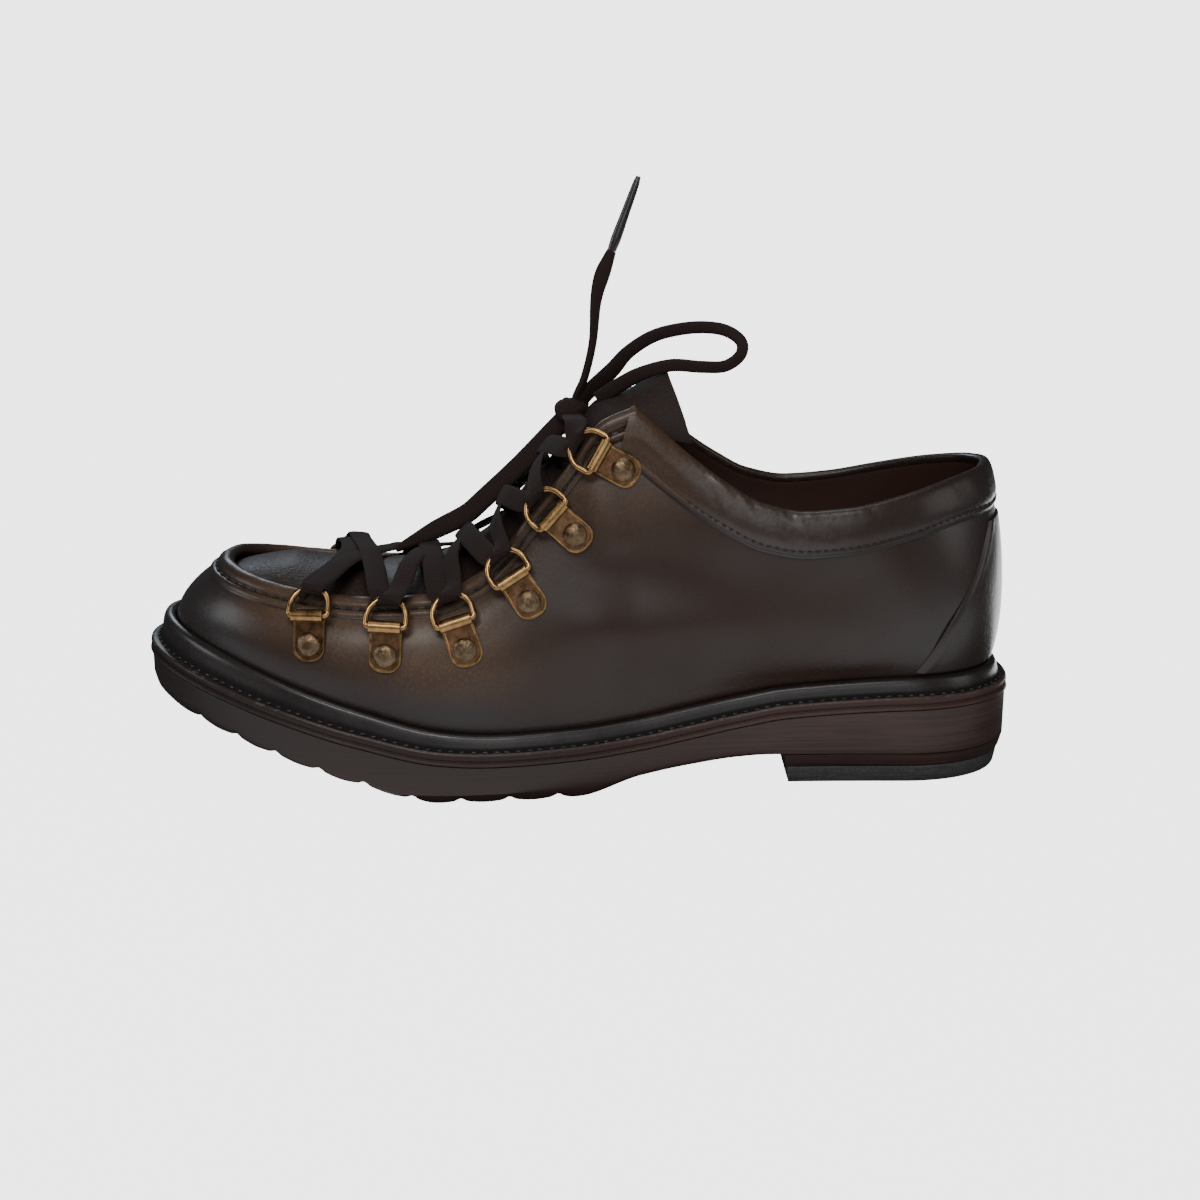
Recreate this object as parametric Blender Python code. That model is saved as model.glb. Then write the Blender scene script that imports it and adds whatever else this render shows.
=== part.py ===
"""Lace-up shoe with D-ring lacing, a moccasin type plug and a lugged sole.

A left shoe that stands on z = 0, with its toe at -X and its outer side at -Y. Sizes are in millimetres
and are scaled to metres when a mesh is made. Places along the shoe are stations, counted from the back of
the heel. Round the shoe they are angles: 0 at the heel, a half turn at the toe, outer side first.
"""

import math

import bmesh
import bpy
from mathutils import Matrix, Vector

MM = 0.001
UP = Vector((0.0, 0.0, 1.0))
TURN = 2.0 * math.pi

# Driving dimensions
LENGTH = 300.0            # sole, heel back to toe tip
GAP = 0.3                 # between pieces that meet
WALL = 2.0                # leather of the upper
THROAT_STATION = 130.0    # sole station below the front corner of the collar
TOE_ROUND = 76.0          # length over which the toe of the sole is rounded
HEEL_ROUND = 40.0         # length over which the heel of the sole is rounded
ROUNDNESS = 2.2           # exponent of both rounded ends

# Welt and sole
WELT_WIDTH = 7.2          # sole edge to upper at the sides
WELT_TOE_EXTRA = 2.0      # added to the width at the toe tip
WELT_TOE_POWER = 6        # how soon that fades from the tip
WELT_DEPTH = 4.5          # below the outer ridge
SEAT = 0.6                # foot of the upper's curve below the top of the rib
HEEL_LENGTH = 80.0
HEEL_BREAST_SLOPE = 1.5   # the heel's front face leans back by this much
HEEL_TAPER = 2.6          # the heel's bottom lies inside its top by this much
LIFT_HEIGHT = 6.0
LIFT_STEP = 0.5           # the top lift stands in from the heel block
SOLE_EDGE_STEP = 0.3      # the outsole stands in from the welt
SOLE_BOTTOM_INSET = 1.6   # rounding of the outsole's lower edge
SOLE_TOE_INSET = 4.4      # added to that rounding at the toe tip
SOLE_TOE_POWER = 8        # how soon that fades from the tip
LUG_STATIONS = (156.0, 172.0, 188.0, 204.0, 220.0, 235.0, 250.0, 264.0, 278.0)
LUG_GROOVE_WIDTH = 4.6
LUG_GROOVE_DEPTH = 2.0
LUG_GROOVE_REACH = 15.0
INSOLE_THICKNESS = 3.0

# Overlays and tongue
OVERLAY = 1.1             # leather of the back strap
STRAP_CLEAR = 0.65        # back strap to the upper, over its facets
BAND_PAD = 1.5            # padded collar band at its thickest
BAND_FRONT_GAP = 0.03     # angle between the band and the facing rim
TONGUE_THICKNESS = 2.4
TONGUE_CLEAR = 1.0        # tongue to the inner face of the upper, over its facets
TONGUE_TUCK = 8.0         # tongue edge below the rim of the upper
TONGUE_TOP_RISE = Vector((11.5, 0.0, 8.5))
TONGUE_SIDE_RUN = Vector((6.0, 0.0, -4.0))  # added to the rise at the tongue's edges

# Lace rings
PLATE_WIDTH = 10.6
PLATE_TAIL = 5.6          # rivet to the rounded end
PLATE_REACH = 9.4         # rivet to the middle of the roll
PLATE_METAL = 0.8
PLATE_CORNER = 4.2
PLATE_TILT = math.radians(9.0)
PLATE_CLEAR = 0.7
ROLL_BORE = 1.3
RING_WIRE = 1.0           # radius
RING_HALF = 6.6           # half width along the middle of the wire
RING_SIDE = 3.4           # straight side of the D
RING_CORNER = 0.8         # cut corners beside the bar
RING_LEAN = {"outer": math.radians(24.0), "inner": math.radians(31.0)}
INNER_DROP = 2.0          # the inner side's rings sit lower than the outer side's
RIVET_RADIUS = 3.4
RIVET_CLEAR = 0.1
RIVET_PROFILE = ((1.0, 0.0), (0.94, 0.9), (0.62, 1.7))  # share of the radius, height
ROLL_DEGREES = (-90.0, -45.0, 0.0, 45.0, 90.0, 140.0, 190.0)

# Lace
LACE_WIDTH = 6.0
LACE_THICKNESS = 1.4
LACE_CORD = 4.2           # the lace seen edge-on in its free loop and end
LACE_CLEAR = 4.6          # lace strip to the wire of its ring
LACE_OVER = 2.6           # strip above the ring that it leaves
LACE_LEVEL = 0.6          # strip above the ring that it reaches
LACE_SPREAD = 2.8         # the two strands at a ring, to each side of its middle
BRIDGE_WIDTH = 4.6
BRIDGE_FACES = Vector((-0.6, -0.2, 0.8)).normalized()
AGLET_DIAMETER = 3.4

# Faceting
BACK_STEPS = 12
FRONT_STEPS = 18
WALL_STEPS = 8
ARCH_STEPS = 12
LACE_STEPS = 4
STRAP_ROWS = 6
STRAP_COLUMNS = 16
HEEL_STEPS = 9
RIVET_SIDES = 8
RING_STEPS = 6
RING_SIDES = 5
CORD_STEPS = 2
BRIDGE_STEPS = 3
HALVINGS = 24             # of the searches for a place on the wall
OUTLINE_STEP = 0.03       # angle to each side for the direction of the outline
WALL_STEP = 0.012         # angle or share to each side for the directions on the wall
SLACK = 1e-6              # for comparing angles


class Table:
    """Rows of named columns, read between its rows by a monotone cubic."""

    def __init__(self, names, *rows):
        self.names = names.split()
        self.rows = rows
        self.keys = [row[0] for row in rows]

    def at(self, key, name):
        place = self.names.index(name)
        values = [row[place] for row in self.rows]
        last = len(values) - 1
        key = min(max(key, self.keys[0]), self.keys[last])
        low = max(i for i in range(last) if self.keys[i] <= key)
        widths = [self.keys[i + 1] - self.keys[i] for i in range(last)]
        slopes = [(values[i + 1] - values[i]) / widths[i] for i in range(last)]

        def tangent(i):
            if i in (0, last):
                return slopes[min(i, last - 1)]
            before, after = slopes[i - 1], slopes[i]
            if before * after <= 0.0:
                return 0.0
            return 2.0 * before * after / (before + after)

        width = widths[low]
        t = (key - self.keys[low]) / width
        rise = t * t * (3.0 - 2.0 * t)
        ease_in = t * (1.0 - t) ** 2
        ease_out = t * t * (t - 1.0)
        return (values[low] * (1.0 - rise) + values[low + 1] * rise
                + width * (ease_in * tangent(low) + ease_out * tangent(low + 1)))


def angle_of(station):
    return math.acos(1.0 - 2.0 * station / LENGTH)


def station_of(angle):
    return 0.5 * LENGTH * (1.0 - math.cos(angle))


THROAT = angle_of(THROAT_STATION)

# Sole: centre line and half width of the outline, height of the welt's outer ridge, of its inner rib
# above that ridge, and of the sole's underside
SOLE = Table(
    "station centre half edge rib bottom",
    (0.0, 0.0, 33.5, 31.7, 4.8, 11.0),
    (40.0, 0.0, 34.2, 30.8, 4.8, 11.0),
    (80.0, -1.4, 33.4, 28.2, 4.6, 11.0),
    (96.0, -2.6, 33.6, 25.5, 4.6, 10.2),
    (112.0, -3.6, 35.0, 22.5, 4.6, 8.4),
    (129.0, -4.2, 37.6, 19.6, 4.4, 5.6),
    (150.0, -4.0, 42.5, 17.6, 4.2, 0.0),
    (176.0, -3.0, 48.0, 16.9, 4.2, 0.0),
    (196.0, -1.8, 50.6, 18.0, 4.8, 0.0),
    (222.0, 0.4, 51.0, 23.4, 6.0, 5.8),
    (248.0, 2.2, 50.0, 30.4, 7.2, 13.6),
    (272.0, 3.6, 47.5, 36.9, 8.4, 20.4),
    (300.0, 5.0, 44.0, 44.5, 9.4, 27.0),
)

# Upper behind the throat: top line (station, half width, height), then how the wall leaves the welt
# (rise, spread) and reaches the top (drop, lean), and the width of the collar band
BACK_ROWS = (
    (0.0, 11.0, 0.0, 105.6, 17.0, 5.8, 21.0, 7.0, 13.5),
    (5.0, 14.2, 11.5, 104.8, 17.0, 6.6, 21.0, 6.6, 13.5),
    (20.0, 26.6, 22.6, 102.2, 17.0, 8.8, 20.0, 5.2, 13.5),
    (40.0, 44.6, 31.0, 97.8, 16.0, 9.5, 19.0, 4.0, 13.5),
    (58.0, 61.0, 33.6, 94.6, 16.0, 9.0, 18.0, 3.8, 13.5),
    (73.0, 76.0, 33.8, 93.6, 17.0, 8.0, 18.0, 4.0, 13.5),
    (87.0, 89.5, 32.8, 96.3, 19.0, 7.0, 20.0, 5.0, 14.0),
    (100.0, 101.0, 30.6, 102.5, 21.0, 6.5, 23.0, 6.0, 15.0),
    (113.0, 113.0, 27.2, 111.0, 23.0, 6.0, 26.0, 7.0, 16.5),
    (130.0, 131.0, 23.0, 126.5, 24.0, 5.6, 30.0, 8.5, 19.0),
)

# Upper before the throat: the same columns, with the reach of the tongue's arch instead of the band
FRONT_ROWS = (
    (130.0, 131.0, 23.0, 126.5, 24.0, 5.6, 30.0, 8.5, 13.0),
    (143.0, 142.2, 24.0, 121.6, 23.0, 5.6, 30.0, 9.0, 12.5),
    (152.0, 149.4, 25.0, 112.0, 22.0, 5.6, 28.0, 9.5, 12.5),
    (161.0, 157.0, 26.0, 101.8, 20.0, 5.8, 25.0, 10.5, 13.5),
    (170.0, 164.6, 27.0, 92.4, 18.0, 6.0, 21.0, 11.5, 16.0),
    (178.0, 171.5, 28.2, 83.0, 16.0, 6.2, 17.0, 12.5, 18.0),
    (190.0, 182.5, 30.0, 72.0, 13.0, 6.2, 12.0, 13.5, 21.5),
    (205.0, 198.0, 31.0, 65.4, 11.0, 5.6, 8.0, 13.5, 23.0),
    (227.0, 219.0, 31.0, 63.8, 11.0, 5.0, 6.0, 12.0, 24.0),
    (250.0, 240.0, 29.0, 65.2, 10.0, 4.0, 5.0, 11.0, 23.0),
    (268.0, 253.0, 25.4, 67.2, 9.5, 2.6, 5.0, 10.5, 22.0),
    (287.0, 264.0, 18.0, 69.6, 8.5, 1.0, 5.0, 10.5, 16.0),
    (297.0, 269.6, 9.4, 71.2, 8.0, -0.4, 5.0, 10.5, 8.0),
    (300.0, 271.0, 0.0, 71.6, 8.0, -0.8, 5.0, 10.5, 4.0),
)

# Lace rings: number, place of the rivet and of the ring's middle on the side of the upper, and the bow
# over the tongue of the lace that goes on to the next rings
RING_ROWS = (
    (1, 237.2, 51.3, 236.2, 61.8, 6.5),
    (2, 212.1, 48.6, 211.1, 60.0, 8.0),
    (3, 186.0, 51.0, 190.0, 62.0, 7.0),
    (4, 165.5, 66.0, 172.0, 75.0, 5.0),
    (5, 150.5, 87.0, 159.0, 94.0, 2.5),
    (6, 135.0, 107.6, 145.0, 113.0, 0.0),
)
RING_COUNT = len(RING_ROWS)

# Welt profile: share of the width inwards, height above the ridge, share of the rib's height
WELT_PROFILE = (
    (0.04, -4.5, 0.0),
    (0.00, -3.5, 0.0),
    (0.09, -2.8, 0.0),
    (0.00, -2.1, 0.0),
    (0.02, -0.5, 0.0),
    (0.14, 0.0, 0.0),
    (0.33, -0.5, 0.22),
    (0.62, -0.4, 0.50),
    (0.69, 0.0, 0.84),
    (0.81, 0.0, 1.0),
    (0.98, -0.8, 1.0),
    (0.98, -4.5, 0.0),
)

# Facing rim profile: distance below the rim and height above the upper
RIM_PROFILE = ((0.2, 1.2), (1.8, 1.7), (3.4, 1.0), (5.2, 1.3), (7.0, 0.7))

# Collar band profile: share of the band's width below the top line, share of its padding
BAND_PROFILE = ((0.01, 0.6), (0.25, 1.0), (0.6, 1.0), (0.92, 0.7), (1.0, 0.45))

# Back strap: share of the wall's height, and the station at which the strap ends there
STRAP = Table(
    "share station",
    (0.06, 36.0),
    (0.30, 26.0),
    (0.55, 14.0),
    (0.75, 7.0),
)

# Free lace, points chosen by hand: the loop, the standing end and the strand over the middle
KNOT_CENTRE = Vector((-2.0, -4.0, 122.0))
KNOT_SIZE = Vector((6.0, 5.4, 5.6))
LOOP_ROUTE = ((4.6, -1.0, 129.6), (11.6, -1.0, 136.0), (17.0, -1.0, 142.0), (25.0, -1.0, 147.2),
              (33.5, -1.0, 149.6), (42.0, -1.4, 150.4), (49.6, -2.4, 149.4), (54.6, -4.6, 146.0),
              (54.2, -7.4, 141.8), (49.0, -9.4, 138.4), (41.0, -11.4, 138.4), (31.0, -12.0, 139.0),
              (21.0, -10.6, 136.0), (13.0, -8.6, 131.4), (6.8, -6.8, 127.0))
END_ROUTE = ((0.0, -4.0, 128.4), (2.6, -4.0, 134.6), (5.2, -4.2, 146.0), (6.2, -4.6, 159.0),
             (8.0, -4.4, 167.0), (11.4, -4.0, 175.6))
AGLET_TIP = Vector((20.2, -3.0, 199.4))
BRIDGE_ROUTE = ((-48.0, 0.0, 81.7), (-38.7, -0.5, 86.4), (-32.7, -1.0, 91.6), (-19.8, -2.0, 103.8),
                (-15.0, -2.4, 108.9))


def angle_table(names, rows, mirror_row):
    """A table on angles, with the row beside the heel or toe mirrored past it to keep the end smooth."""
    turned = [(angle_of(row[0]),) + row[1:] for row in rows]
    near = turned[mirror_row]
    pivot = 0.0 if mirror_row == 1 else math.pi
    mirrored = (2.0 * pivot - near[0], near[1], -near[2]) + near[3:]
    turned.append(mirrored)
    return Table(names, *sorted(turned))


BACK = angle_table("angle station half height rise spread drop lean band", BACK_ROWS, 1)
FRONT = angle_table("angle station half height rise spread drop lean reach", FRONT_ROWS, -2)


def spaced(start, end, steps):
    return [start + (end - start) * i / steps for i in range(steps + 1)]


HALF_LOOP = spaced(0.0, THROAT, BACK_STEPS) + spaced(THROAT, math.pi, FRONT_STEPS)[1:]
LOOP = HALF_LOOP + [TURN - angle for angle in reversed(HALF_LOOP[1:-1])]


def side_of(angle):
    """-1 on the outer side, 1 on the inner side."""
    return -1.0 if math.sin(angle) >= 0.0 else 1.0


def end_rounding(station):
    toe = max(0.0, (station - LENGTH + TOE_ROUND) / TOE_ROUND)
    heel = max(0.0, (HEEL_ROUND - station) / HEEL_ROUND)
    past = min(1.0, max(toe, heel))
    return (1.0 - past ** ROUNDNESS) ** (1.0 / ROUNDNESS)


def sole_edge(angle):
    """The sole's outline, seen from above."""
    station = station_of(angle)
    half = SOLE.at(station, "half") * end_rounding(station)
    return Vector((0.5 * LENGTH - station, SOLE.at(station, "centre") + side_of(angle) * half, 0.0))


def inward(angle):
    along = sole_edge(angle + OUTLINE_STEP) - sole_edge(angle - OUTLINE_STEP)
    return Vector((along.y, -along.x, 0.0)).normalized()


OUTLINE_SIDES = [sole_edge(angle).y for angle in LOOP]
SIDE_SHIFT = -0.5 * (min(OUTLINE_SIDES) + max(OUTLINE_SIDES))


def sole_point(angle, inset, column="edge", height=0.0):
    """A point inside the outline, at a height above one of the sole's columns."""
    point = sole_edge(angle) + inward(angle) * inset
    point.y += SIDE_SHIFT
    point.z = SOLE.at(0.5 * LENGTH - point.x, column) + height
    return point


def welt_width(angle):
    return WELT_WIDTH + WELT_TOE_EXTRA * max(0.0, -math.cos(angle)) ** WELT_TOE_POWER


def wall_table(angle):
    folded = angle % TURN
    folded = min(folded, TURN - folded)
    return folded, (BACK if folded < THROAT else FRONT)


def wall_controls(angle):
    """Four control points of the wall, from the welt's rib to the rim or the top line."""
    folded, table = wall_table(angle)
    out = -inward(angle)
    foot = sole_point(angle, welt_width(angle))
    foot.z += SOLE.at(0.5 * LENGTH - foot.x, "rib") - SEAT
    station = table.at(folded, "station")
    middle = SOLE.at(station, "centre") + SIDE_SHIFT
    top = Vector((0.5 * LENGTH - station, middle + side_of(angle) * table.at(folded, "half"),
                  table.at(folded, "height")))
    leave = foot + out * table.at(folded, "spread") + UP * table.at(folded, "rise")
    reach = top + out * table.at(folded, "lean") - UP * table.at(folded, "drop")
    return foot, leave, reach, top


def cubic(controls, t):
    a, b, c, d = controls
    s = 1.0 - t
    return a * s ** 3 + b * (3.0 * s * s * t) + c * (3.0 * s * t * t) + d * t ** 3


def wall(angle, share):
    """The outer face of the upper."""
    return cubic(wall_controls(angle), share)


def wall_frame(angle, share):
    """Unit vectors up the wall and out of it."""
    low, high = max(0.0, share - WALL_STEP), min(1.0, share + WALL_STEP)
    up_wall = (wall(angle, high) - wall(angle, low)).normalized()
    along = wall(angle + WALL_STEP, share) - wall(angle - WALL_STEP, share)
    return up_wall, up_wall.cross(along).normalized()


def skin(angle, share, offset):
    """A point at an offset from the outer face of the upper."""
    return wall(angle, share) + wall_frame(angle, share)[1] * offset


def share_below(angle, distance):
    """The share of the wall's height that lies a distance below its rim."""
    top = wall(angle, 1.0)
    low, high = 0.0, 1.0
    for _ in range(HALVINGS):
        middle = 0.5 * (low + high)
        if (top - wall(angle, middle)).length > distance:
            low = middle
        else:
            high = middle
    return high


def place_on_wall(side, station, height):
    """Angle and share of the place on a side that has this station and height."""
    low, high = 0.5 * THROAT, math.pi
    for _ in range(HALVINGS):
        angle = 0.5 * (low + high)
        below, above = 0.0, 1.0
        for _ in range(HALVINGS):
            share = 0.5 * (below + above)
            if wall(angle, share).z < height:
                below = share
            else:
                above = share
        if 0.5 * LENGTH - wall(angle, share).x < station:
            low = angle
        else:
            high = angle
    return (angle if side < 0.0 else TURN - angle), share


def material(name, colour, roughness, metallic=0.0):
    finish = bpy.data.materials.get(name)
    if finish is None:
        finish = bpy.data.materials.new(name)
        finish.use_nodes = True
        shader = finish.node_tree.nodes["Principled BSDF"]
        shader.inputs["Base Color"].default_value = (*colour, 1.0)
        shader.inputs["Roughness"].default_value = roughness
        shader.inputs["Metallic"].default_value = metallic
    return finish


def leather():
    return material("burnished_leather", (0.045, 0.022, 0.012), 0.35)


def rubber():
    return material("sole_rubber", (0.035, 0.014, 0.010), 0.5)


def lift_rubber():
    return material("lift_rubber", (0.018, 0.017, 0.017), 0.6)


def brass():
    return material("antique_brass", (0.32, 0.19, 0.07), 0.4, 1.0)


def lace_braid():
    return material("lace_braid", (0.020, 0.011, 0.009), 0.75)


def mesh_from(name, points, faces):
    """A smooth-shaded closed mesh from points in millimetres."""
    bm = bmesh.new()
    verts = [bm.verts.new(point * MM) for point in points]
    for face in faces:
        bm.faces.new([verts[i] for i in face])
    bmesh.ops.recalc_face_normals(bm, faces=bm.faces)
    mesh = bpy.data.meshes.new(name)
    bm.to_mesh(mesh)
    bm.free()
    mesh.shade_smooth()
    mesh.set_sharp_from_angle(angle=math.radians(40.0))
    return mesh


def add_object(name, mesh, finish, matrix=None):
    if not mesh.materials:
        mesh.materials.append(finish)
    piece = bpy.data.objects.new(name, mesh)
    bpy.context.scene.collection.objects.link(piece)
    if matrix is not None:
        piece.matrix_world = matrix
    return piece


def loft(name, sections, closed):
    """A solid through closed sections: a ring when closed, otherwise with its ends filled."""
    count, size = len(sections), len(sections[0])
    points = [point for section in sections for point in section]
    faces = []
    for i in range(count if closed else count - 1):
        j = (i + 1) % count
        for k in range(size):
            m = (k + 1) % size
            faces.append((i * size + k, j * size + k, j * size + m, i * size + m))
    if not closed:
        faces.append(tuple(range(size)))
        faces.append(tuple((count - 1) * size + k for k in range(size)))
    return mesh_from(name, points, faces)


def ladder(size):
    """Faces across a ring whose points pair up on both sides of its first one."""
    faces = []
    for i in range(size):
        left, right = i + 1, size - i - 1
        if left > right:
            break
        corners = [i, left, right, (size - i) % size]
        faces.append(tuple(dict.fromkeys(corners)))
    return faces


def stack(name, rings):
    """A solid through rings laid on each other, closed by strips from side to side."""
    size = len(rings[0])
    points = [point for ring in rings for point in ring]
    faces = []
    for i in range(len(rings) - 1):
        for k in range(size):
            m = (k + 1) % size
            faces.append((i * size + k, i * size + m, (i + 1) * size + m, (i + 1) * size + k))
    last = (len(rings) - 1) * size
    faces += ladder(size)
    faces += [tuple(last + k for k in face) for face in ladder(size)]
    return mesh_from(name, points, faces)


def ribbon_sections(points, up, width, thickness):
    """Flat cross-sections along a route, square to it and facing the given directions."""
    sections = []
    for i, point in enumerate(points):
        ahead = points[min(i + 1, len(points) - 1)] - points[max(i - 1, 0)]
        side = ahead.cross(up[i]).normalized() * (0.5 * width)
        rise = side.cross(ahead).normalized() * (0.5 * thickness)
        below, above = point - rise, point + rise
        sections.append([below - side, below + side, above + side, above - side])
    return sections


def make_upper():
    shares = spaced(0.0, 1.0, WALL_STEPS)
    sections = []
    for angle in LOOP:
        foot = sole_point(angle, welt_width(angle), height=-WELT_DEPTH)
        inner_foot = sole_point(angle, welt_width(angle) + WALL, height=-WELT_DEPTH)
        outer = [wall(angle, share) for share in shares]
        inner = [skin(angle, share, -WALL) for share in reversed(shares)]
        sections.append([foot] + outer + inner + [inner_foot])
    add_object("upper", loft("upper", sections, True), leather())


def make_tongue():
    half = 0.5 * TONGUE_THICKNESS
    offset = -(WALL + TONGUE_CLEAR + half)
    angles = [a for a in reversed(HALF_LOOP) if a >= THROAT - SLACK][1:]
    arches = []
    for angle in angles:
        reach = FRONT.at(angle, "reach")
        ends, leans = [], []
        for turned in (angle, TURN - angle):
            share = share_below(turned, TONGUE_TUCK)
            ends.append(skin(turned, share, offset))
            leans.append(wall_frame(turned, share)[0] * reach)
        controls = (ends[0], ends[0] + leans[0], ends[1] + leans[1], ends[1])
        arches.append([cubic(controls, t) for t in spaced(0.0, 1.0, ARCH_STEPS)])
    last_arch = arches[-1]
    from_middle = [abs(2.0 * i / ARCH_STEPS - 1.0) for i in range(ARCH_STEPS + 1)]
    for part in (0.5, 1.0):
        arches.append([point + (TONGUE_TOP_RISE + TONGUE_SIDE_RUN * side * side) * part
                       for point, side in zip(last_arch, from_middle)])
    sections = []
    for row, arch in enumerate(arches):
        before, after = arches[max(row - 1, 0)], arches[min(row + 1, len(arches) - 1)]
        outer, inner = [], []
        for i, point in enumerate(arch):
            across = arch[min(i + 1, ARCH_STEPS)] - arch[max(i - 1, 0)]
            normal = across.cross(before[i] - after[i]).normalized()
            outer.append(point + normal * half)
            inner.append(point - normal * half)
        sections.append(outer + inner[::-1])
    add_object("tongue", loft("tongue", sections, False), leather())


def make_facing_rim():
    sections = []
    for angle in LOOP:
        if min(angle, TURN - angle) < THROAT - SLACK:
            continue
        shares = [share_below(angle, distance) for distance, _ in RIM_PROFILE]
        outer = [skin(angle, share, GAP + row[1]) for share, row in zip(shares, RIM_PROFILE)]
        inner = [skin(angle, share, GAP) for share in reversed(shares)]
        sections.append(outer + inner)
    add_object("facing_rim", loft("facing_rim", sections, False), leather())


def make_collar_band():
    sections = []
    half = HALF_LOOP[:BACK_STEPS] + [THROAT - BAND_FRONT_GAP]
    for angle in [-a for a in reversed(half[1:])] + half:
        band = BACK.at(abs(angle), "band")
        shares = [share_below(angle, band * part) for part, _ in BAND_PROFILE]
        outer = [skin(angle, share, GAP + BAND_PAD * row[1]) for share, row in zip(shares, BAND_PROFILE)]
        inner = [skin(angle, share, GAP) for share in reversed(shares)]
        sections.append(outer + inner)
    add_object("collar_band", loft("collar_band", sections, False), leather())


def make_heel_counter():
    sections = []
    for share in spaced(STRAP.keys[0], STRAP.keys[-1], STRAP_ROWS):
        reach = angle_of(STRAP.at(share, "station"))
        angles = spaced(-reach, reach, STRAP_COLUMNS)
        outer = [skin(angle, share, STRAP_CLEAR + OVERLAY) for angle in angles]
        inner = [skin(angle, share, STRAP_CLEAR) for angle in reversed(angles)]
        sections.append(outer + inner)
    add_object("heel_counter", loft("heel_counter", sections, False), leather())


def make_insole():
    low = [sole_point(a, welt_width(a) + WALL + 2.0 * GAP, height=-WELT_DEPTH) for a in LOOP]
    high = [point + UP * INSOLE_THICKNESS for point in low]
    add_object("insole", stack("insole", [low, high]), material("insole_leather", (0.10, 0.05, 0.03), 0.6))


def make_welt():
    sections = []
    for angle in LOOP:
        width = welt_width(angle)
        section = []
        for part, height, rib_share in WELT_PROFILE:
            point = sole_point(angle, width * part, height=height)
            point.z += rib_share * SOLE.at(0.5 * LENGTH - point.x, "rib")
            section.append(point)
        sections.append(section)
    add_object("welt", loft("welt", sections, True), rubber())


def make_outsole():
    top = [sole_point(a, SOLE_EDGE_STEP, height=-WELT_DEPTH - GAP) for a in LOOP]
    toe_shares = [max(0.0, -math.cos(a)) ** SOLE_TOE_POWER for a in LOOP]
    rounding = [SOLE_BOTTOM_INSET + SOLE_TOE_INSET * share for share in toe_shares]
    low = [sole_point(a, SOLE_EDGE_STEP, "bottom", inset) for a, inset in zip(LOOP, rounding)]
    bottom = [sole_point(a, SOLE_EDGE_STEP + inset, "bottom") for a, inset in zip(LOOP, rounding)]
    sole = add_object("outsole", stack("outsole", [top, low, bottom]), rubber())
    bm = bmesh.new()
    for station in LUG_STATIONS:
        for angle in (angle_of(station), -angle_of(station)):
            across = inward(angle)
            place = sole_point(angle, 0.0, "bottom") * MM
            frame = Matrix((across, UP.cross(across), UP)).transposed().to_4x4()
            size = Vector((2.0 * LUG_GROOVE_REACH, LUG_GROOVE_WIDTH, 2.0 * LUG_GROOVE_DEPTH)) * MM
            bmesh.ops.create_cube(bm, size=1.0,
                                  matrix=Matrix.Translation(place) @ frame @ Matrix.Diagonal(size).to_4x4())
    mesh = bpy.data.meshes.new("lug_grooves")
    bm.to_mesh(mesh)
    bm.free()
    grooves = add_object("lug_grooves", mesh, rubber())
    grooves.hide_render = True
    grooves.display_type = "WIRE"
    cut = sole.modifiers.new("lug_grooves", "BOOLEAN")
    cut.operation = "DIFFERENCE"
    cut.object = grooves


def heel_ring(depth, height):
    """The heel's outline at a share of its depth below the outsole."""
    end = angle_of(HEEL_LENGTH - HEEL_BREAST_SLOPE * depth)
    inset = SOLE_EDGE_STEP + HEEL_TAPER * depth
    angles = spaced(0.0, end, HEEL_STEPS)
    ring = [sole_point(a, inset) for a in angles] + [sole_point(-a, inset) for a in reversed(angles[1:])]
    for point in ring:
        point.z = height
    return ring


def make_heel():
    top = SOLE.at(0.0, "bottom")
    joint = 1.0 - LIFT_HEIGHT / top
    block = [heel_ring(0.0, top - GAP), heel_ring(joint, LIFT_HEIGHT + GAP)]
    add_object("heel_block", stack("heel_block", block), rubber())
    lift = [heel_ring(joint + LIFT_STEP / HEEL_TAPER, LIFT_HEIGHT), heel_ring(1.0, 0.0)]
    add_object("heel_lift", stack("heel_lift", lift), lift_rubber())


ROLL_RADIUS = ROLL_BORE + PLATE_METAL
ROLL_CENTRE = Vector((0.0, PLATE_REACH, ROLL_RADIUS))


def ring_frames():
    """Each lace ring's name, the frame of its plate (across, to the rim, out) and that of the ring."""
    frames = []
    for number, rivet_station, rivet_height, ring_station, ring_height, _ in RING_ROWS:
        for label, side, drop in (("outer", -1.0, 0.0), ("inner", 1.0, INNER_DROP)):
            angle, share = place_on_wall(side, rivet_station, rivet_height - drop)
            rim_angle, rim_share = place_on_wall(side, ring_station, ring_height - drop)
            normal = wall_frame(angle, share)[1]
            ahead = wall(rim_angle, rim_share) - wall(angle, share)
            ahead = (ahead - normal * ahead.dot(normal)).normalized()
            frame = Matrix((ahead.cross(normal), ahead, normal)).transposed().to_4x4()
            place = skin(angle, share, GAP + PLATE_CLEAR) * MM
            matrix = Matrix.Translation(place) @ frame @ Matrix.Rotation(PLATE_TILT, 4, "X")
            turn = Matrix.Translation(ROLL_CENTRE * MM) @ Matrix.Rotation(-RING_LEAN[label], 4, "X")
            frames.append((f"{label}_{number}", matrix, matrix @ turn))
    return frames


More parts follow.
